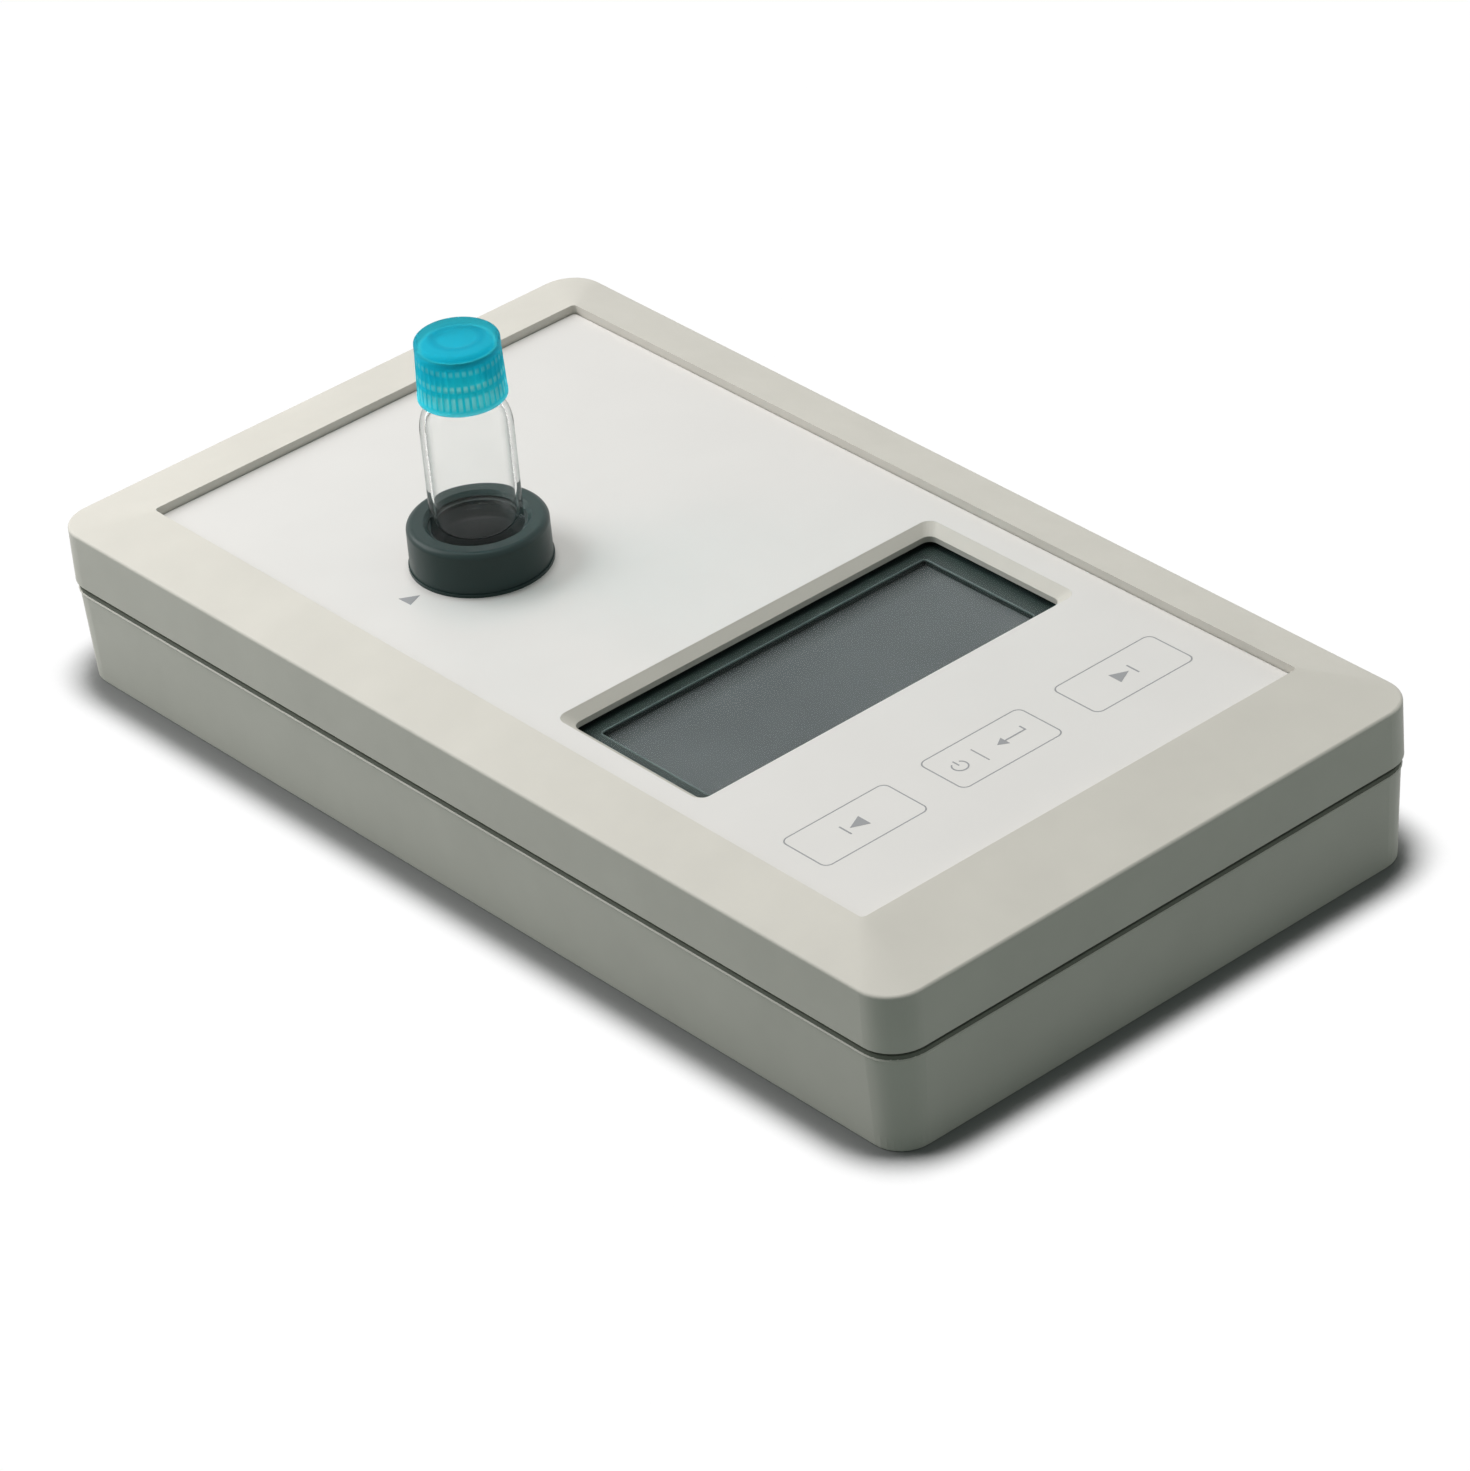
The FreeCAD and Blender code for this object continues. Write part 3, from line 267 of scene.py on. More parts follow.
def circuit_board():
    """Green solder mask over copper tracks that show as slightly lighter lanes."""
    finish = moulded("circuit_board", BOARD, 0.35, 0.5 * MM, 0.004 * MM)
    lanes = finish.add("ShaderNodeTexBrick")
    lanes.inputs["Scale"].default_value = 1 / LANE_PITCH
    lanes.inputs["Mortar Size"].default_value = LANE_WIDTH
    lanes.inputs["Color1"].default_value = (*BOARD, 1)
    lanes.inputs["Color2"].default_value = (*BOARD_LIGHTER, 1)
    lanes.inputs["Mortar"].default_value = (*BOARD_LANE, 1)
    finish.link(finish.place, lanes.inputs["Vector"])
    finish.feed("Base Color", lanes.outputs["Color"])
    return finish


def display_glass():
    """Slate display glass under a polariser, with a painted shadow that deepens its tone along its
    rear edge, where the window's rear wall shades it.
    """
    finish = Finish("lcd_glass")
    drift = finish.noise(GLASS_DRIFT)
    slate = finish.blend(finish.spread(drift, 0, 1), SLATE, SLATE_LIGHTER)
    # painted shadow of the window's rear wall along the glass's rear edge
    rear_shadow = finish.spread(finish.axes()["Y"], 0, 0.6, *REAR_SHADOW)
    finish.feed("Base Color", finish.blend(rear_shadow, slate, SLATE_SHADOW))
    finish.feed("Roughness", finish.spread(drift, 0.16, 0.24))
    finish.put("Specular IOR Level", 0.1)
    finish.bump(finish.noise(GLASS_WAVE, 1.0), 0.01 * MM)
    return finish


# The cap's tones and painted light: heights from its lip and radii, in millimetres
RIBS = 40  # ribs round the skirt of the cap
RIB_EDGE = (-0.1, 0.7)  # cosine of a rib's wave at which the rib starts, and is full
CAP_DRIFT = 5 * MM
SHINE_ROWS = ((2.15, 2.1, 0.75), (4.8, 0.8, 1.0), (7.6, 0.7, 0.6))  # rows of painted light between the ribs: middle height, width, strength
ROW_FADE = (-0.2, 0.25)  # from half the width of a row: where it starts to fade, and ends
# heights between which the painted light at the lip fades out
LIP_FADE = (0.3, 0.9)
# heights between which the top's deeper tone, painted in shade against the skirt, fades in
CROWN_FADE = (8.6, 10.2)
CROWN_SHADE_RING = 4.0  # radius of the ring of painted shade on the cap's top, round its dish
# from the ring's radius: where its painted shade starts to fade, and ends
RING_FADE = (0.2, 1.0)


def cap_plastic():
    """Translucent turquoise plastic with painted light: the skirt painted lighter than the thick
    top, a ring of painted shade round the top's dish, and painted light shining through at the lip
    and between the ribs.
    """
    finish = moulded("cap_plastic", TURQUOISE, 0.5, 0.5 * MM, 0.004 * MM, 0.04)
    across, along, height = finish.axes()
    waves = finish.work_out("MULTIPLY", finish.work_out("ARCTAN2", along, across), RIBS)
    on_rib = finish.spread(finish.work_out("COSINE", waves), 0, 1, *RIB_EDGE)

    def apart(value, level):
        return finish.work_out("ABSOLUTE", finish.work_out("SUBTRACT", value, level * MM))

    def fade(value, strength, start, end):
        return finish.spread(value, strength, 0, start * MM, end * MM)

    rows = 0.0
    for row_height, width, strength in SHINE_ROWS:
        start, end = (width / 2 + step for step in ROW_FADE)
        row = fade(apart(height, row_height), strength, start, end)
        rows = finish.work_out("MAXIMUM", rows, row)
    # painted light shining through between the ribs in rows, and at the lip
    shine = finish.work_out("MULTIPLY", rows, finish.work_out("SUBTRACT", 1.0, on_rib))
    shine = finish.work_out("MAXIMUM", shine, fade(height, 0.4, *LIP_FADE))

    drift = finish.spread(finish.noise(CAP_DRIFT), 0, 0.12)
    side = finish.blend(drift, TURQUOISE, TURQUOISE_DRIFT_AND_TOP_SHADE)
    # the top painted deeper than the skirt, with a ring of painted shade round the dish
    crown = finish.spread(height, 0, 1, *(level * MM for level in CROWN_FADE))
    squares = [finish.work_out("MULTIPLY", axis, axis) for axis in (across, along)]
    radius = finish.work_out("SQRT", finish.work_out("ADD", *squares))
    ring = fade(apart(radius, CROWN_SHADE_RING), 0.6, *RING_FADE)
    base = finish.blend(crown, side, finish.blend(ring, TURQUOISE_DRIFT_AND_TOP_SHADE, TURQUOISE_RING_SHADE))
    finish.feed("Base Color", finish.blend(shine, base, TURQUOISE_SHINE))
    finish.put("Transmission Weight", 0.68)
    finish.put("IOR", 1.12)
    finish.put("Specular IOR Level", 0.3)
    finish.light_passes(TURQUOISE_LIGHT)
    return finish


# Each with its colour and roughness, then the size and depth of its grain, or its index if clear
FINISHES = {made.name: made for made in (
    moulded("case_plastic", CASE, 0.52, 0.45 * MM, 0.012 * MM, gloss=0.3),
    # painted shade, for the strip in the seam's gap
    moulded("seam_shade", SEAM_SHADE, 0.8, 0.4 * MM, 0.01 * MM, gloss=0.2),
    # the bezel's inner edge in a painted highlight
    moulded("bezel_highlight", BEZEL_HIGHLIGHT_TONE, 0.4, 0.25 * MM, 0.002 * MM, gloss=0.3),
    moulded("foil", FOIL, 0.42, 0.3 * MM, 0.004 * MM, mottle=0.01, gloss=0.3),
    moulded("print", PRINT, 0.45, 0.3 * MM, 0.002 * MM, mottle=0.02),
    metal("steel", (0.56, 0.55, 0.53), 0.34),
    moulded("rubber", (0.012, 0.022, 0.021), 0.72, 0.5 * MM, 0.02 * MM),
    moulded("foam", (0.035, 0.04, 0.044), 0.9, 0.3 * MM, 0.05 * MM),
    circuit_board(),
    moulded("flex_strip", (0.55, 0.27, 0.06), 0.3, 0.8 * MM, 0.003 * MM),
    moulded("chip_plastic", (0.02, 0.02, 0.02), 0.5, 0.2 * MM, 0.004 * MM),
    clear("clear_pane", (0.97, 0.98, 0.98), 0.0, 1.05),
    moulded("black_metal", (0.018, 0.029, 0.027), 0.34, 0.25 * MM, 0.003 * MM, gloss=0.25),
    display_glass(),
    moulded("white_plastic", (0.78, 0.78, 0.77), 0.45),
    moulded("black_plastic", DARK, 0.36, 0.3 * MM, 0.008 * MM, mottle=0.06, gloss=0.25),
    clear("emitter_plastic", (0.92, 0.94, 0.97), 0.03, 1.49),
    clear("filter_glass", (0.25, 0.4, 0.85), 0.0, 1.5),
    metal("detector_can", (0.66, 0.66, 0.67), 0.28),
    moulded("cell_can", (0.03, 0.03, 0.036), 0.3, 2 * MM, 0.004 * MM),
    metal("contact_metal", (0.7, 0.68, 0.64), 0.2),
    # the vial's edges painted in shade where its glass is seen edge on
    clear("vial_glass", (0.985, 0.992, 0.99), 0.0, 1.04, coat=0.2, wall=(0.26, 0.32, 0.32)),
    cap_plastic(),
)}


def dress_nodes():
    """Gives every node of the frame the finish of its material slot."""
    for part in frame["record"]["subparts"]:
        thing = nodes[part["node"]]
        if not thing.material_slots:
            thing.data.materials.append(None)
        for slot in thing.material_slots:
            slot.link = "OBJECT"
            slot.material = FINISHES[part["material_slot"]].material


dress_nodes()


# Pieces made here: outlines and profiles in millimetres, meshes in metres
WELD = 0.001 * MM


def placed(name, data):
    """A new object in the scene."""
    made = bpy.data.objects.new(name, data)
    bpy.context.scene.collection.objects.link(made)
    return made


def piece(name, body, finish, points, faces, smooth=True, origin=(0, 0, 0)):
    """A mesh of points in metres about origin, riding on a body."""
    mesh = bpy.data.meshes.new(name)
    mesh.from_pydata(points, [], faces)
    mesh.validate()
    mesh.polygons.foreach_set("use_smooth", [smooth] * len(mesh.polygons))
    mesh.materials.append(FINISHES[finish].material)
    made = placed(name, mesh)
    made.location = origin
    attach(made, body)
    return made


def merged(thing):
    """Welds the points that meet, as those on an axis do, and turns the faces outwards."""
    work = bmesh.new()
    work.from_mesh(thing.data)
    bmesh.ops.remove_doubles(work, verts=work.verts, dist=WELD)
    bmesh.ops.recalc_face_normals(work, faces=work.faces)
    work.to_mesh(thing.data)
    work.free()
    return thing


def round_axis(radius, height, angle):
    """A point in metres from a radius and a height in millimetres."""
    return radius * math.cos(angle) * MM, radius * math.sin(angle) * MM, height * MM


def turned(profile, steps, radius_at=None):
    """A profile of (radius, height) turned about Z. It ends on the axis or where it starts."""
    points, faces = [], []
    count = len(profile)
    for i in range(steps):
        angle = TURN * i / steps
        for j, (radius, height) in enumerate(profile):
            if radius_at:
                radius = radius_at(j, radius, angle)
            points.append(round_axis(radius, height, angle))
    for i in range(steps):
        here, after = i * count, (i + 1) % steps * count
        for j in range(count - 1):
            faces.append((here + j, after + j, after + j + 1, here + j + 1))
    return points, faces


def arc(cx, cy, radius, start, end, steps=6):
    """Points of an arc, angles in degrees."""
    angles = [math.radians(start + (end - start) * i / steps) for i in range(steps + 1)]
    return [(cx + radius * math.cos(a), cy + radius * math.sin(a)) for a in angles]


def rounded(width, length, radius):
    """The outline of a rectangle with rounded corners, about its middle."""
    x, y = width / 2 - radius, length / 2 - radius
    return (arc(x, y, radius, 0, 90) + arc(-x, y, radius, 90, 180)
            + arc(-x, -y, radius, 180, 270) + arc(x, -y, radius, 270, 360))


def slab(outline, low, high):
    """A flat plate with that outline between two heights."""
    count = len(outline)
    points = [(x * MM, y * MM, z * MM) for z in (low, high) for x, y in outline]
    faces = [tuple(reversed(range(count))), tuple(range(count, 2 * count))]
    faces += [(i, (i + 1) % count, count + (i + 1) % count, count + i) for i in range(count)]
    return points, faces


def band(inner, outer, low, high):
    """A closed band between two outlines with the same number of points."""
    count = len(inner)
    points = [(x * MM, y * MM, z * MM)
              for z in (low, high) for line in (inner, outer) for x, y in line]
    inner_low, outer_low, inner_high, outer_high = 0, count, 2 * count, 3 * count
    faces = []
    for i in range(count):
        j = (i + 1) % count
        faces.append((inner_high + i, outer_high + i, outer_high + j, inner_high + j))
        faces.append((inner_low + j, outer_low + j, outer_low + i, inner_low + i))
        faces.append((outer_low + i, outer_low + j, outer_high + j, outer_high + i))
        faces.append((inner_low + j, inner_low + i, inner_high + i, inner_high + j))
    return points, faces


# Screw cap: knurled skirt, plain top band, dished top
CAP_LOW, CAP_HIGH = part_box("vial_cap")
CAP_TALL = (CAP_HIGH.z - CAP_LOW.z) / MM
CAP_R = (CAP_HIGH.x - CAP_LOW.x) / 2 / MM
CAP_TAPER = 0.35
CAP_BORE = 6.4
CAP_ROOF = 1.5
CAP_EDGE = 0.7
RIB_LOW, RIB_HIGH = 1.1, 8.3
RIB_ROWS = 6
RIB_SINK, RIB_TAPER = 0.02, 0.04  # how far in the ribs start, and go per millimetre up
RIB_DEPTH = 0.12
RIB_POWER = 0.7  # below 1, which makes a rib blunter than a wave
STEPS_PER_RIB = 8
CAP_THREADS = 3
CAP_THREAD_TOP, CAP_THREAD_PITCH = 6.5, 2.4
CAP_THREAD_HALF, CAP_THREAD_DEPTH = 0.4, 0.3


def cap():
    """The cap, with the ribs of its skirt cut back from its profile."""
    top = CAP_R - CAP_TAPER
    profile = [(CAP_BORE, 0.25), (CAP_BORE + 0.25, 0.0), (CAP_R - 0.15, 0.0), (CAP_R, 0.15),
               (CAP_R, 0.7), (CAP_R - 0.1, 0.9)]
    ribbed = range(len(profile), len(profile) + RIB_ROWS)
    rise = (RIB_HIGH - RIB_LOW) / (RIB_ROWS - 1)
    levels = [RIB_LOW + rise * i for i in range(RIB_ROWS)]
    profile += [(CAP_R - RIB_SINK - RIB_TAPER * level, level) for level in levels]
    profile += [(top - 0.01, RIB_HIGH + 0.35), (top, RIB_HIGH + 0.6), (top, CAP_TALL - CAP_EDGE)]
    profile += arc(top - CAP_EDGE, CAP_TALL - CAP_EDGE, CAP_EDGE, 0, 90)[1:]
    # the shallow dish, then the roof and the bore from inside
    profile += [(4.2, CAP_TALL), (3.75, CAP_TALL - 0.04), (3.4, CAP_TALL - 0.16),
                (3.0, CAP_TALL - 0.26), (2.5, CAP_TALL - 0.3), (0.0, CAP_TALL - 0.3)]
    profile += [(0.0, CAP_TALL - CAP_ROOF), (CAP_BORE - 0.6, CAP_TALL - CAP_ROOF),
                (CAP_BORE, CAP_TALL - CAP_ROOF - 0.6)]
    for row in range(CAP_THREADS):
        crest = CAP_THREAD_TOP - CAP_THREAD_PITCH * row
        profile += [(CAP_BORE, crest + CAP_THREAD_HALF), (CAP_BORE - CAP_THREAD_DEPTH, crest),
                    (CAP_BORE, crest - CAP_THREAD_HALF)]
    profile.append(profile[0])

    def radius_at(j, radius, angle):
        if j not in ribbed:
            return radius
        wave = max(0.0, math.cos(RIBS * angle)) ** RIB_POWER
        return radius - RIB_DEPTH * (1 - wave)

    points, faces = turned(profile, RIBS * STEPS_PER_RIB, radius_at)
    made = merged(piece("cap_ribbed", "vial_cap", "cap_plastic", points, faces,
                        origin=(WELL.x, WELL.y, CAP_LOW.z)))
    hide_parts("vial_cap")


# Vial: drawn glass tube with a rounded heel, a soft shoulder and a thread round its neck
VIAL_LOW, VIAL_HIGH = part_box("vial")
VIAL_R = (VIAL_HIGH.x - VIAL_LOW.x) / 2 / MM
VIAL_TALL = (VIAL_HIGH.z - VIAL_LOW.z) / MM
VIAL_WALL = 1.0
VIAL_STEPS = 128
HEEL = 1.1
HEEL_INSIDE = 1.6
FLOOR_RISE = 1.8  # height of the floor inside, where it meets the rounding of the wall
NECK_R = 6.0
NECK_WALL = 1.5
MOUTH_EDGE = 0.5
BODY_TALL = 20.3
NECK_START = 24.6
THREAD_STEPS, THREAD_SIDES = 90, 8
THREAD_TURNS, THREAD_PITCH = 1.5, 3.2
THREAD_START = NECK_START + 2.3
THREAD_R = NECK_R - 0.05
THREAD_BEAD, THREAD_TALL = 0.33, 1.4  # half its width, and how much taller than wide it is
THREAD_RUN_OUT = 8  # one part in this many at each end is run out


def vial():
    """The glass, as one profile up its outside and down its inside."""
    inner, throat = VIAL_R - VIAL_WALL, NECK_R - NECK_WALL
    mouth = VIAL_TALL - MOUTH_EDGE
    outside = [(0.0, 0.5), (4.5, 0.35), (5.8, 0.05)] + arc(VIAL_R - HEEL, HEEL, HEEL, -80, 0)
    outside += [(VIAL_R, 6.0), (VIAL_R, 13.0), (VIAL_R, BODY_TALL - 1.0),
                (VIAL_R - 0.04, BODY_TALL), (VIAL_R - 0.2, BODY_TALL + 1.1),
                (VIAL_R - 0.5, BODY_TALL + 2.1), (VIAL_R - 0.95, BODY_TALL + 3.1),
                (NECK_R + 0.25, NECK_START - 0.3), (NECK_R + 0.05, NECK_START + 0.3),
                (NECK_R, NECK_START + 0.9), (NECK_R, VIAL_TALL - 3.0)]
    outside += arc(NECK_R - MOUTH_EDGE, mouth, MOUTH_EDGE, 0, 90)
    inside = arc(throat + MOUTH_EDGE, mouth, MOUTH_EDGE, 90, 180)
    inside += [(throat, NECK_START + 0.6), (throat + 0.15, NECK_START - 0.3),
               (throat + 0.8, NECK_START - 1.2), (inner - 0.5, NECK_START - 2.4),
               (inner - 0.1, NECK_START - 3.8), (inner, NECK_START - 5.0), (inner, 10.0)]
    inside += arc(inner - HEEL_INSIDE, FLOOR_RISE + HEEL_INSIDE, HEEL_INSIDE, 0, -90)
    inside += [(2.5, 1.85), (0.0, 1.9)]
    points, faces = turned(outside + inside, VIAL_STEPS)
    made = merged(piece("vial_drawn", "vial", "vial_glass", points, faces,
                        origin=(WELL.x, WELL.y, VIAL_LOW.z)))
    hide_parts("vial")


def vial_thread():
    """A bead of glass that climbs round the neck and runs out at both ends."""
    points, faces = [], []
    for i in range(THREAD_STEPS + 1):
        share = i / THREAD_STEPS
        size = THREAD_BEAD * min(1.0, THREAD_RUN_OUT * share, THREAD_RUN_OUT * (1 - share))
        climb = THREAD_START + THREAD_PITCH * THREAD_TURNS * share
        for k in range(THREAD_SIDES):
            turn = TURN * k / THREAD_SIDES
            points.append(round_axis(THREAD_R + size * math.cos(turn),
                                     climb + size * THREAD_TALL * math.sin(turn),
                                     TURN * THREAD_TURNS * share))
    for i in range(THREAD_STEPS):
        here, after = i * THREAD_SIDES, (i + 1) * THREAD_SIDES
        for k in range(THREAD_SIDES):
            j = (k + 1) % THREAD_SIDES
            faces.append((here + k, here + j, after + j, after + k))
    last = THREAD_STEPS * THREAD_SIDES
    faces += [tuple(reversed(range(THREAD_SIDES))), tuple(range(last, last + THREAD_SIDES))]
    piece("vial_thread", "vial", "vial_glass", points, faces,
          origin=(WELL.x, WELL.y, VIAL_LOW.z))


# Keys: a fine grey lip round each key, and small plain signs on top
LIP = 0.23
LIP_DEEP = 0.35
INK = 0.03
KEY_SIZE = (20.9, 10.1)
KEY_CORNER = 1.2
ARROW_LONG, ARROW_HALF = 3.0, 1.45
POWER_X = -6.6
POWER_RADII = (1.45, 1.2)
POWER_ARC = (125, 415)  # degrees, open at the top
POWER_BAR_RISE = 0.95
ENTER_ARROW = [(1.2, 0.0), (2.9, 1.1), (2.9, 0.14), (7.0, 0.14), (7.0, 1.3), (7.28, 1.3),
               (7.28, -0.14), (2.9, -0.14), (2.9, -1.1)]


def arrow(x, way):
    """A triangle that points along way (1 or -1), with its tip at x."""
    tail = x - ARROW_LONG * way
    return [(x, 0.0), (tail, -ARROW_HALF * way), (tail, ARROW_HALF * way)]


def bar(x, half=1.4, wide=0.28):
    """An upright bar at x."""
    left, right = x - wide / 2, x + wide / 2
    return [(left, -half), (right, -half), (right, half), (left, half)]


def signs(label):
    """The outlines of the signs on a key."""
    if label == "key_left":
        return [bar(-2.0), arrow(-1.1, -1)]
    if label == "key_right":
        return [bar(2.0), arrow(1.1, 1)]
    outer, inner = POWER_RADII
    start, end = POWER_ARC
    ring = arc(POWER_X, 0, outer, start, end, 20) + arc(POWER_X, 0, inner, end, start, 20)
    mark = [(x + POWER_X, y + POWER_BAR_RISE) for x, y in bar(0, 0.75, 0.25)]
    return [ring, mark, bar(-2.4, 2.1, 0.22), ENTER_ARROW]


def keys():
    """The lips and signs of the three keys."""
    width, length = KEY_SIZE
    inner = rounded(width, length, KEY_CORNER)
    outer = rounded(width + 2 * LIP, length + 2 * LIP, KEY_CORNER + LIP)
    for label in ("key_left", "key_middle", "key_right"):
        place = middle(label)
        origin = (place.x, place.y, 0)
        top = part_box(label)[1].z / MM
        points, faces = band(inner, outer, top - LIP_DEEP, top)
        piece(label + "_lip", label, "print", points, faces, False, origin)
        for number, outline in enumerate(signs(label)):
            points, faces = slab(outline, top - INK, top + INK)
            piece("%s_sign_%d" % (label, number), label, "print", points, faces, False, origin)


COLLAR_MARK = [(-16.9, 0.76), (-16.76, -2.22), (-13.87, -1.05)]  # from the middle of the collar


def collar_mark():
    """The printed triangle on the foil that shows which way the vial goes in."""
    outline = [(WELL.x / MM + x, WELL.y / MM + y) for x, y in COLLAR_MARK]
    top = FOIL_TOP / MM
    points, faces = slab(outline, top - INK, top + INK)
    piece("collar_mark", "case", "print", points, faces, False)


# Hoops round the case and round the display, each a closed profile of (inset, height).
# Round the case: the bright edge of the seam, a strip of painted shade in the seam's gap, and the
# foot of the walls.
# Round the display: the frame inside the window, and the inner edge of the bezel in a painted
# highlight.
CASE_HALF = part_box("upper_shell")[1] / MM
CASE_NARROWING = 2.4
CASE_CORNER = 6.85
CASE_ARC_STEPS = 8
SEAM_EDGE = [(0.45, 16.95), (0.34, 17.0), (0.15, 17.25), (0.15, 17.34), (0.4, 17.58)]
# a strip in the seam's gap, painted in shade
SEAM_SHADE_STRIP = [(0.33, 17.54), (0.33, 18.25), (1.2, 18.25), (1.2, 17.54)]
WALL_FOOT = [(1.128, 2.55), (1.24, 0.25), (1.34, 0.06), (2.0, 0.06), (2.0, 1.3), (1.6, 2.5)]
WINDOW_MIDDLE = (0.0, -25.5)
WINDOW_SIZE = (78.9, 33.8)
WINDOW_CORNER = 1.6
WINDOW_FRAME = [(-0.44, 30.48), (1.33, 28.98), (1.33, 27.93), (-0.02, 27.93), (-0.02, 30.05),
                (-0.44, 30.12)]
BEZEL_SIZE = (69.0, 26.0)
BEZEL_CORNER = 0.6
BEZEL_EDGE = [(-0.3, 26.81), (-0.05, 26.86), (0.02, 26.8), (0.02, 26.6), (-0.3, 26.7)]


def case_outline(inset):
    """The outline of the case at an inset from its widest, a little narrower at the front."""
    radius = CASE_CORNER - inset
    rear, y = CASE_HALF.x - inset - radius, CASE_HALF.y - inset - radius
    front = rear - CASE_NARROWING / 2
    corners = ((rear, y), (-rear, y), (-front, -y), (front, -y))
    return [point for quarter, (cx, cy) in enumerate(corners)
            for point in arc(cx, cy, radius, 90 * quarter, 90 * quarter + 90, CASE_ARC_STEPS)]


def opening_outline(size, corner):
    """A function that gives the outline of an opening at any inset from its edge."""
    def at(inset):
        x, y = WINDOW_MIDDLE
        outline = rounded(size[0] - 2 * inset, size[1] - 2 * inset, max(corner, corner - inset))
        return [(x + across, y + along) for across, along in outline]
    return at


def hoop(name, finish, profile, outline=case_outline):
    """A closed profile of (inset, height) carried round an outline."""
    rings = [outline(inset) for inset, height in profile]
    count, rows = len(rings[0]), len(profile)
    points = [(x * MM, y * MM, height * MM)
              for ring, (inset, height) in zip(rings, profile) for x, y in ring]
    faces = []
    for k in range(rows):
        here, after = k * count, (k + 1) % rows * count
        for i in range(count):
            j = (i + 1) % count
            faces.append((here + i, here + j, after + j, after + i))
    merged(piece(name, "case", finish, points, faces, False))


cap()
vial()
vial_thread()
keys()
collar_mark()
hoop("seam_edge", "case_plastic", SEAM_EDGE)
# a strip of painted shade in the seam's gap
hoop("seam_shade_strip", "seam_shade", SEAM_SHADE_STRIP)
hoop("wall_foot", "case_plastic", WALL_FOOT)
hoop("window_frame", "case_plastic", WINDOW_FRAME, opening_outline(WINDOW_SIZE, WINDOW_CORNER))
# the bezel's inner edge, in a painted highlight
hoop("bezel_highlight", "bezel_highlight", BEZEL_EDGE, opening_outline(BEZEL_SIZE, BEZEL_CORNER))


# Floor and sky, places and sizes in metres
FLOOR_HALF = 4.0
FLOOR_UNSEEN = (0.20, 0.24, 0.22)  # the floor as it lights the object
FLOOR_SEEN = (0.25, 0.25, 0.25)  # the floor as it shows in the object's shadow
FLOOR_WHITE = 1.01  # strength of the white light that the clear floor shows, just past white
FLOOR_CLEAR = (0.68, 0.942)  # share of open sky at which the floor starts to be white, and is
SHADOW_REACH = 10 * MM
SHADOW_SAMPLES = 24
SKY_UNSEEN = (0.160, 0.190, 0.178)
SKY_SEEN = (1.0, 1.0, 1.0)


def seen_ray(tree):
    """1 for the rays that show a backdrop: from the camera, off gloss or through glass.

    Light that a matt surface has scattered doesn't count, so a display under a pane gets no more
    light than one in the open.
    """
    path = tree.nodes.new("ShaderNodeLightPath").outputs
    unscattered = tree.nodes.new("ShaderNodeMath")
    unscattered.operation = "LESS_THAN"
    unscattered.inputs[1].default_value = 0.5
    tree.links.new(path["Diffuse Depth"], unscattered.inputs[0])
    value = path["Is Camera Ray"]
    for operation, other in (("MAXIMUM", path["Is Glossy Ray"]),
                             ("MAXIMUM", path["Is Transmission Ray"]),
                             ("MULTIPLY", unscattered.outputs["Value"])):
        joined = tree.nodes.new("ShaderNodeMath")
        joined.operation = operation
        tree.links.new(value, joined.inputs[0])
        tree.links.new(other, joined.inputs[1])
        value = joined.outputs["Value"]
    return value


def floor():
    """Plain paper near the object, where its shadow falls, and white further off."""
    mesh = bpy.data.meshes.new("floor")
    mesh.from_pydata([(-FLOOR_HALF, -FLOOR_HALF, 0), (FLOOR_HALF, -FLOOR_HALF, 0),
                      (FLOOR_HALF, FLOOR_HALF, 0), (-FLOOR_HALF, FLOOR_HALF, 0)], [],
                     [(0, 1, 2, 3)])
    made = placed("floor", mesh)
    finish = Finish("floor")
    seen = seen_ray(finish.tree)
    near = finish.add("ShaderNodeAmbientOcclusion", samples=SHADOW_SAMPLES)
    near.inputs["Distance"].default_value = SHADOW_REACH
    clear_of_object = finish.spread(near.outputs["AO"], 0, 1, *FLOOR_CLEAR)
    paper = finish.add("ShaderNodeBsdfDiffuse")
    finish.link(finish.blend(seen, FLOOR_UNSEEN, FLOOR_SEEN), paper.inputs["Color"])
    white = finish.add("ShaderNodeEmission")
    white.inputs["Strength"].default_value = FLOOR_WHITE
    finish.show_mix(finish.work_out("MULTIPLY", seen, clear_of_object),
                    paper.outputs["BSDF"], white.outputs["Emission"])
    mesh.materials.append(finish.material)


def sky():
    """A white backdrop whose light on the object is dimmer than it looks."""
    world = bpy.data.worlds.new("sky")
    bpy.context.scene.world = world
    world.use_nodes = True
    tree = world.node_tree
    colour = tree.nodes.new("ShaderNodeMix")
    colour.data_type = "RGBA"
    colour.inputs[MIX_FIRST].default_value = (*SKY_UNSEEN, 1)
    colour.inputs[MIX_SECOND].default_value = (*SKY_SEEN, 1)
    tree.links.new(seen_ray(tree), colour.inputs[0])
    tree.links.new(colour.outputs[MIX_RESULT], tree.nodes["Background"].inputs["Color"])


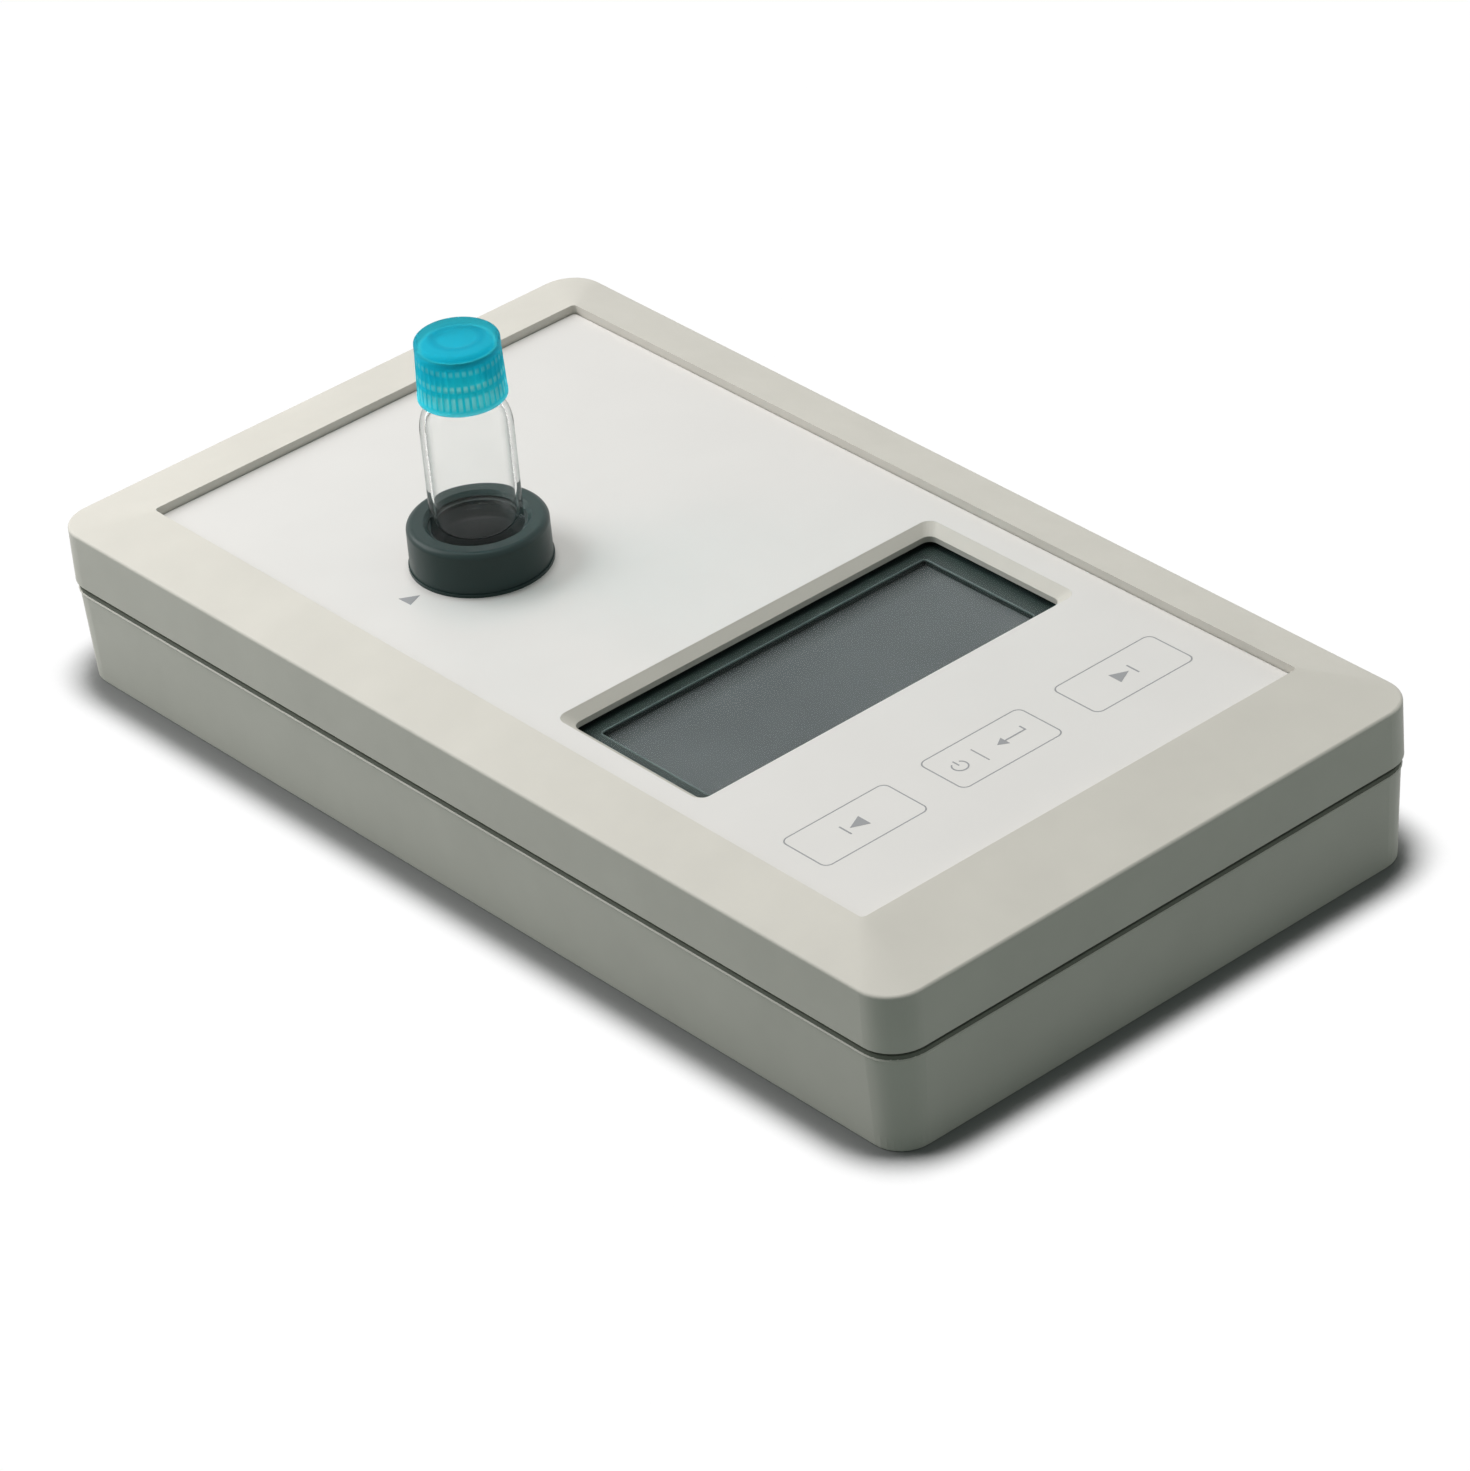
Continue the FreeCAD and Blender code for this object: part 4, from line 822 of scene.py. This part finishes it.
# Lamps: a sun's energy is in watts per square metre and an area's in watts
LAMP_TARGET = Vector((0, 0, 0.02))
SUN_PLACE, SUN_ENERGY, SUN_COLOUR = (0.12, 0.16, 1.0), 1.32, (1.0, 0.985, 0.96)
SUN_ANGLE = math.radians(20)
REAR_PLACE, REAR_ENERGY, REAR_SIZE = (-0.26, 0.40, 0.38), 2.2, 0.45
RIGHT_PLACE, RIGHT_ENERGY, RIGHT_COLOUR = (0.6, -0.35, 0.2), 0.35, (0.97, 1.0, 0.98)
RIGHT_SIZE = 0.25


def light(name, kind, position, energy, colour=(1, 1, 1)):
    """A lamp that faces the object."""
    data = bpy.data.lights.new(name, kind)
    data.energy = energy
    data.color = colour
    made = placed(name, data)
    made.location = position
    made.rotation_mode = "QUATERNION"
    made.rotation_quaternion = (LAMP_TARGET - Vector(position)).to_track_quat("-Z", "Y")
    return data


def lamps():
    """A sun and two soft lamps, from behind and from the right."""
    light("sun", "SUN", SUN_PLACE, SUN_ENERGY, SUN_COLOUR).angle = SUN_ANGLE
    light("rear", "AREA", REAR_PLACE, REAR_ENERGY).size = REAR_SIZE
    light("right", "AREA", RIGHT_PLACE, RIGHT_ENERGY, RIGHT_COLOUR).size = RIGHT_SIZE


# The camera as solved from the photograph: angles in radians, distances in millimetres
PHOTO_WIDTH = 1470
FOCAL_PIXELS = 6241.04
AZIMUTH, ELEVATION, ROLL = -0.6709, 0.5759, -0.0914
SIDE, LIFT, AWAY = 3.6086, -22.0827, 1000.6134
SENSOR = 36.0
CLIP = (0.05, 20)  # metres


def camera():
    """The photograph's camera, which looks at the foil from AWAY, moved by SIDE and LIFT."""
    level = math.cos(ELEVATION)
    back = Vector((math.sin(AZIMUTH) * level, -math.cos(AZIMUTH) * level, math.sin(ELEVATION)))
    right = Vector((math.cos(AZIMUTH), math.sin(AZIMUTH), 0))
    up = back.cross(right)
    across = math.cos(ROLL) * right + math.sin(ROLL) * up
    upward = -math.sin(ROLL) * right + math.cos(ROLL) * up
    data = bpy.data.cameras.new("photo")
    data.sensor_fit = "HORIZONTAL"
    data.sensor_width = SENSOR
    data.lens = FOCAL_PIXELS / PHOTO_WIDTH * SENSOR
    data.clip_start, data.clip_end = CLIP
    made = placed("photo", data)
    position = (AWAY * back + SIDE * across + LIFT * upward) * MM + Vector((0, 0, FOIL_TOP))
    turn = Matrix((across, upward, back)).transposed().to_4x4()
    made.matrix_world = Matrix.Translation(position) @ turn
    bpy.context.scene.camera = made


floor()
sky()
lamps()
camera()
bpy.context.scene.view_settings.view_transform = "Standard"
